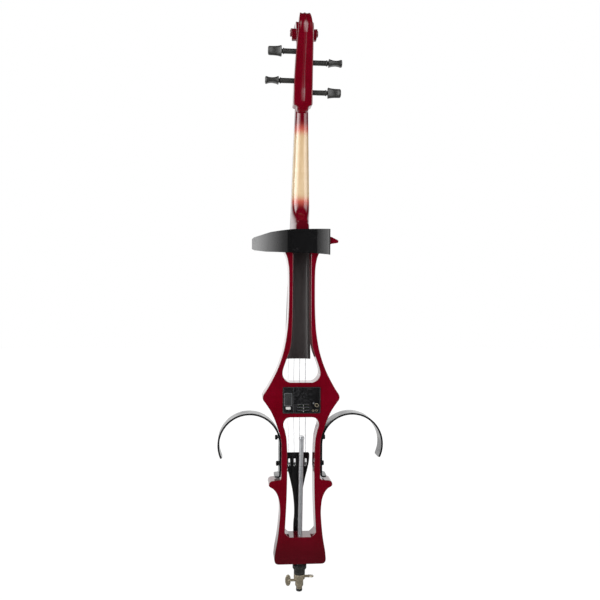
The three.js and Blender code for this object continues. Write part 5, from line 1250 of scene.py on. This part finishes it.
def mirroredLevel(tree, direction):
    x, y, z = partsOf(tree, direction)
    turn = maths(tree, "ARCTAN2", x, maths(tree, "MULTIPLY", y, -1.0))

    def turning(name, atLow, atHigh):
        low, high, _ = surroundings[name]
        return remap(tree, turn, math.radians(low), math.radians(high), atLow, atHigh)

    left = turning("left", surroundings["left"][2], 0.0)
    right = turning("right", 0.0, surroundings["right"][2])
    right = maths(tree, "MULTIPLY", right, turning("rightEnd", 1.0, surroundings["rightEnd"][2]))
    boxes = maths(tree, "MAXIMUM", left, right)
    for edge in (remap(tree, z, *surroundings["top"], 1.0, 0.0), remap(tree, z, *surroundings["bottom"]),
                 remap(tree, y, *surroundings["frontEnd"], 1.0, 0.0)):
        boxes = maths(tree, "MULTIPLY", boxes, edge)
    white = maths(tree, "MULTIPLY", remap(tree, y, *surroundings["behind"]),
                  remap(tree, z, *surroundings["behindTop"]))
    return maths(tree, "MAXIMUM", maths(tree, "MAXIMUM", boxes, white), surroundings["front"])


def makeFloor():
    form = bmesh.new()
    bmesh.ops.create_grid(form, x_segments=1, y_segments=1, size=floorLook["size"])
    floor = carriedBy(written(form, "floor"))
    floor.name = "floor"
    material = bpy.data.materials.new("floor")
    material.use_nodes = True
    tree = material.node_tree
    tree.nodes.clear()
    straight, mirroredRay = seenBy(tree)
    place = addNode(tree, "TexCoord").outputs["Object"]
    share = maths(tree, "MAXIMUM", maths(tree, "MULTIPLY", straight, floorLook["share"]), mirroredRay)
    # mirrored in shiny things, the floor is white beyond the object and dim before it, and further out
    # it shows the soft boxes that stand on it
    near = remap(tree, partsOf(tree, place)["Y"], *surroundings["floorNear"], surroundings["front"], 1.0)
    outward = addNode(tree, "VectorMath", {0: place}, operation="NORMALIZE").outputs[0]
    distance = addNode(tree, "VectorMath", {0: place}, operation="LENGTH").outputs["Value"]
    far = remap(tree, distance, *surroundings["floorFrom"], 0.0, surroundings["onFloor"])
    seen = maths(tree, "MAXIMUM", near, maths(tree, "MULTIPLY", mirroredLevel(tree, outward), far))
    bright = maths(tree, "MULTIPLY", straight, remap(tree, distance, *floorLook["glow"]))
    level = maths(tree, "MAXIMUM", bright, maths(tree, "MULTIPLY", seen, mirroredRay))
    matt = addNode(tree, "BsdfDiffuse", {"Color": (*[floorLook["grey"]] * 3, 1)})
    glow = addNode(tree, "Emission", {"Color": (1, 1, 1, 1), "Strength": level})
    both = addNode(tree, "MixShader", {0: share, 1: matt.outputs[0], 2: glow.outputs[0]})
    addNode(tree, "OutputMaterial", {"Surface": both.outputs[0]})
    floor.data.materials.append(material)
    # the tip of the endpin stays on the floor, however far the rod is drawn out
    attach(floor, "endpin")


studio = {
    # name: place, what it faces, size, power
    "leftBox": ((-1.02, -1.1, 0.98), (0, 0, 0.85), (0.8, 1.5), 16),
    "rightBox": ((0.9, -1.2, 0.98), (0, 0, 0.85), (0.75, 1.5), 10),
    "overhead": ((0.1, 0.1, 2.6), (0, 0, 0.6), (1.6, 1.6), 16),
    "behind": ((-0.5, 1.9, 1.5), (0, 0, 0.7), (1.6, 1.6), 12),
}


def facing(place, target):
    return (Vector(target) - Vector(place)).to_track_quat("-Z", "Y")


def makeStudio():
    for name, (place, target, size, power) in studio.items():
        light = bpy.data.lights.new(name, "AREA")
        light.shape = "RECTANGLE"
        light.size, light.size_y = size
        light.energy = power
        lamp = bpy.data.objects.new(name, light)
        lamp.location = place
        lamp.rotation_euler = facing(place, target).to_euler()
        lamp.visible_camera = False
        lamp.visible_glossy = False
        scene.collection.objects.link(lamp)
    world = bpy.data.worlds.new("surroundings")
    scene.world = world
    world.use_nodes = True
    tree = world.node_tree
    tree.nodes.clear()
    straight, mirroredRay = seenBy(tree)
    direction = addNode(tree, "TexCoord").outputs["Generated"]
    soft = maths(tree, "MULTIPLY", mirroredRay, mirroredLevel(tree, direction))
    level = maths(tree, "ADD", soft, spread(tree, mirroredRay, surroundings["plain"], 0.0))
    strength = maths(tree, "MAXIMUM", level, straight)
    sky = addNode(tree, "Background", {"Color": (1, 1, 1, 1), "Strength": strength})
    addNode(tree, "OutputWorld", {"Surface": sky.outputs[0]})


camera = {"place": (-0.162, -1.766, 0.679), "aim": (-0.0046, -0.023, 0.6699), "lens": 46.25, "roll": 0.4}


def makeCamera():
    data = bpy.data.cameras.new("camera")
    data.lens = camera["lens"]
    data.sensor_width = 36
    data.clip_start, data.clip_end = 0.05, 40
    obj = bpy.data.objects.new("camera", data)
    scene.collection.objects.link(obj)
    obj.location = camera["place"]
    roll = Matrix.Rotation(math.radians(camera["roll"]), 4, "Z")
    obj.rotation_euler = (facing(camera["place"], camera["aim"]).to_matrix().to_4x4() @ roll).to_euler()
    scene.camera = obj


makeFloor()
makeStudio()
makeCamera()
scene.view_settings.view_transform = "Standard"

print("stage done")
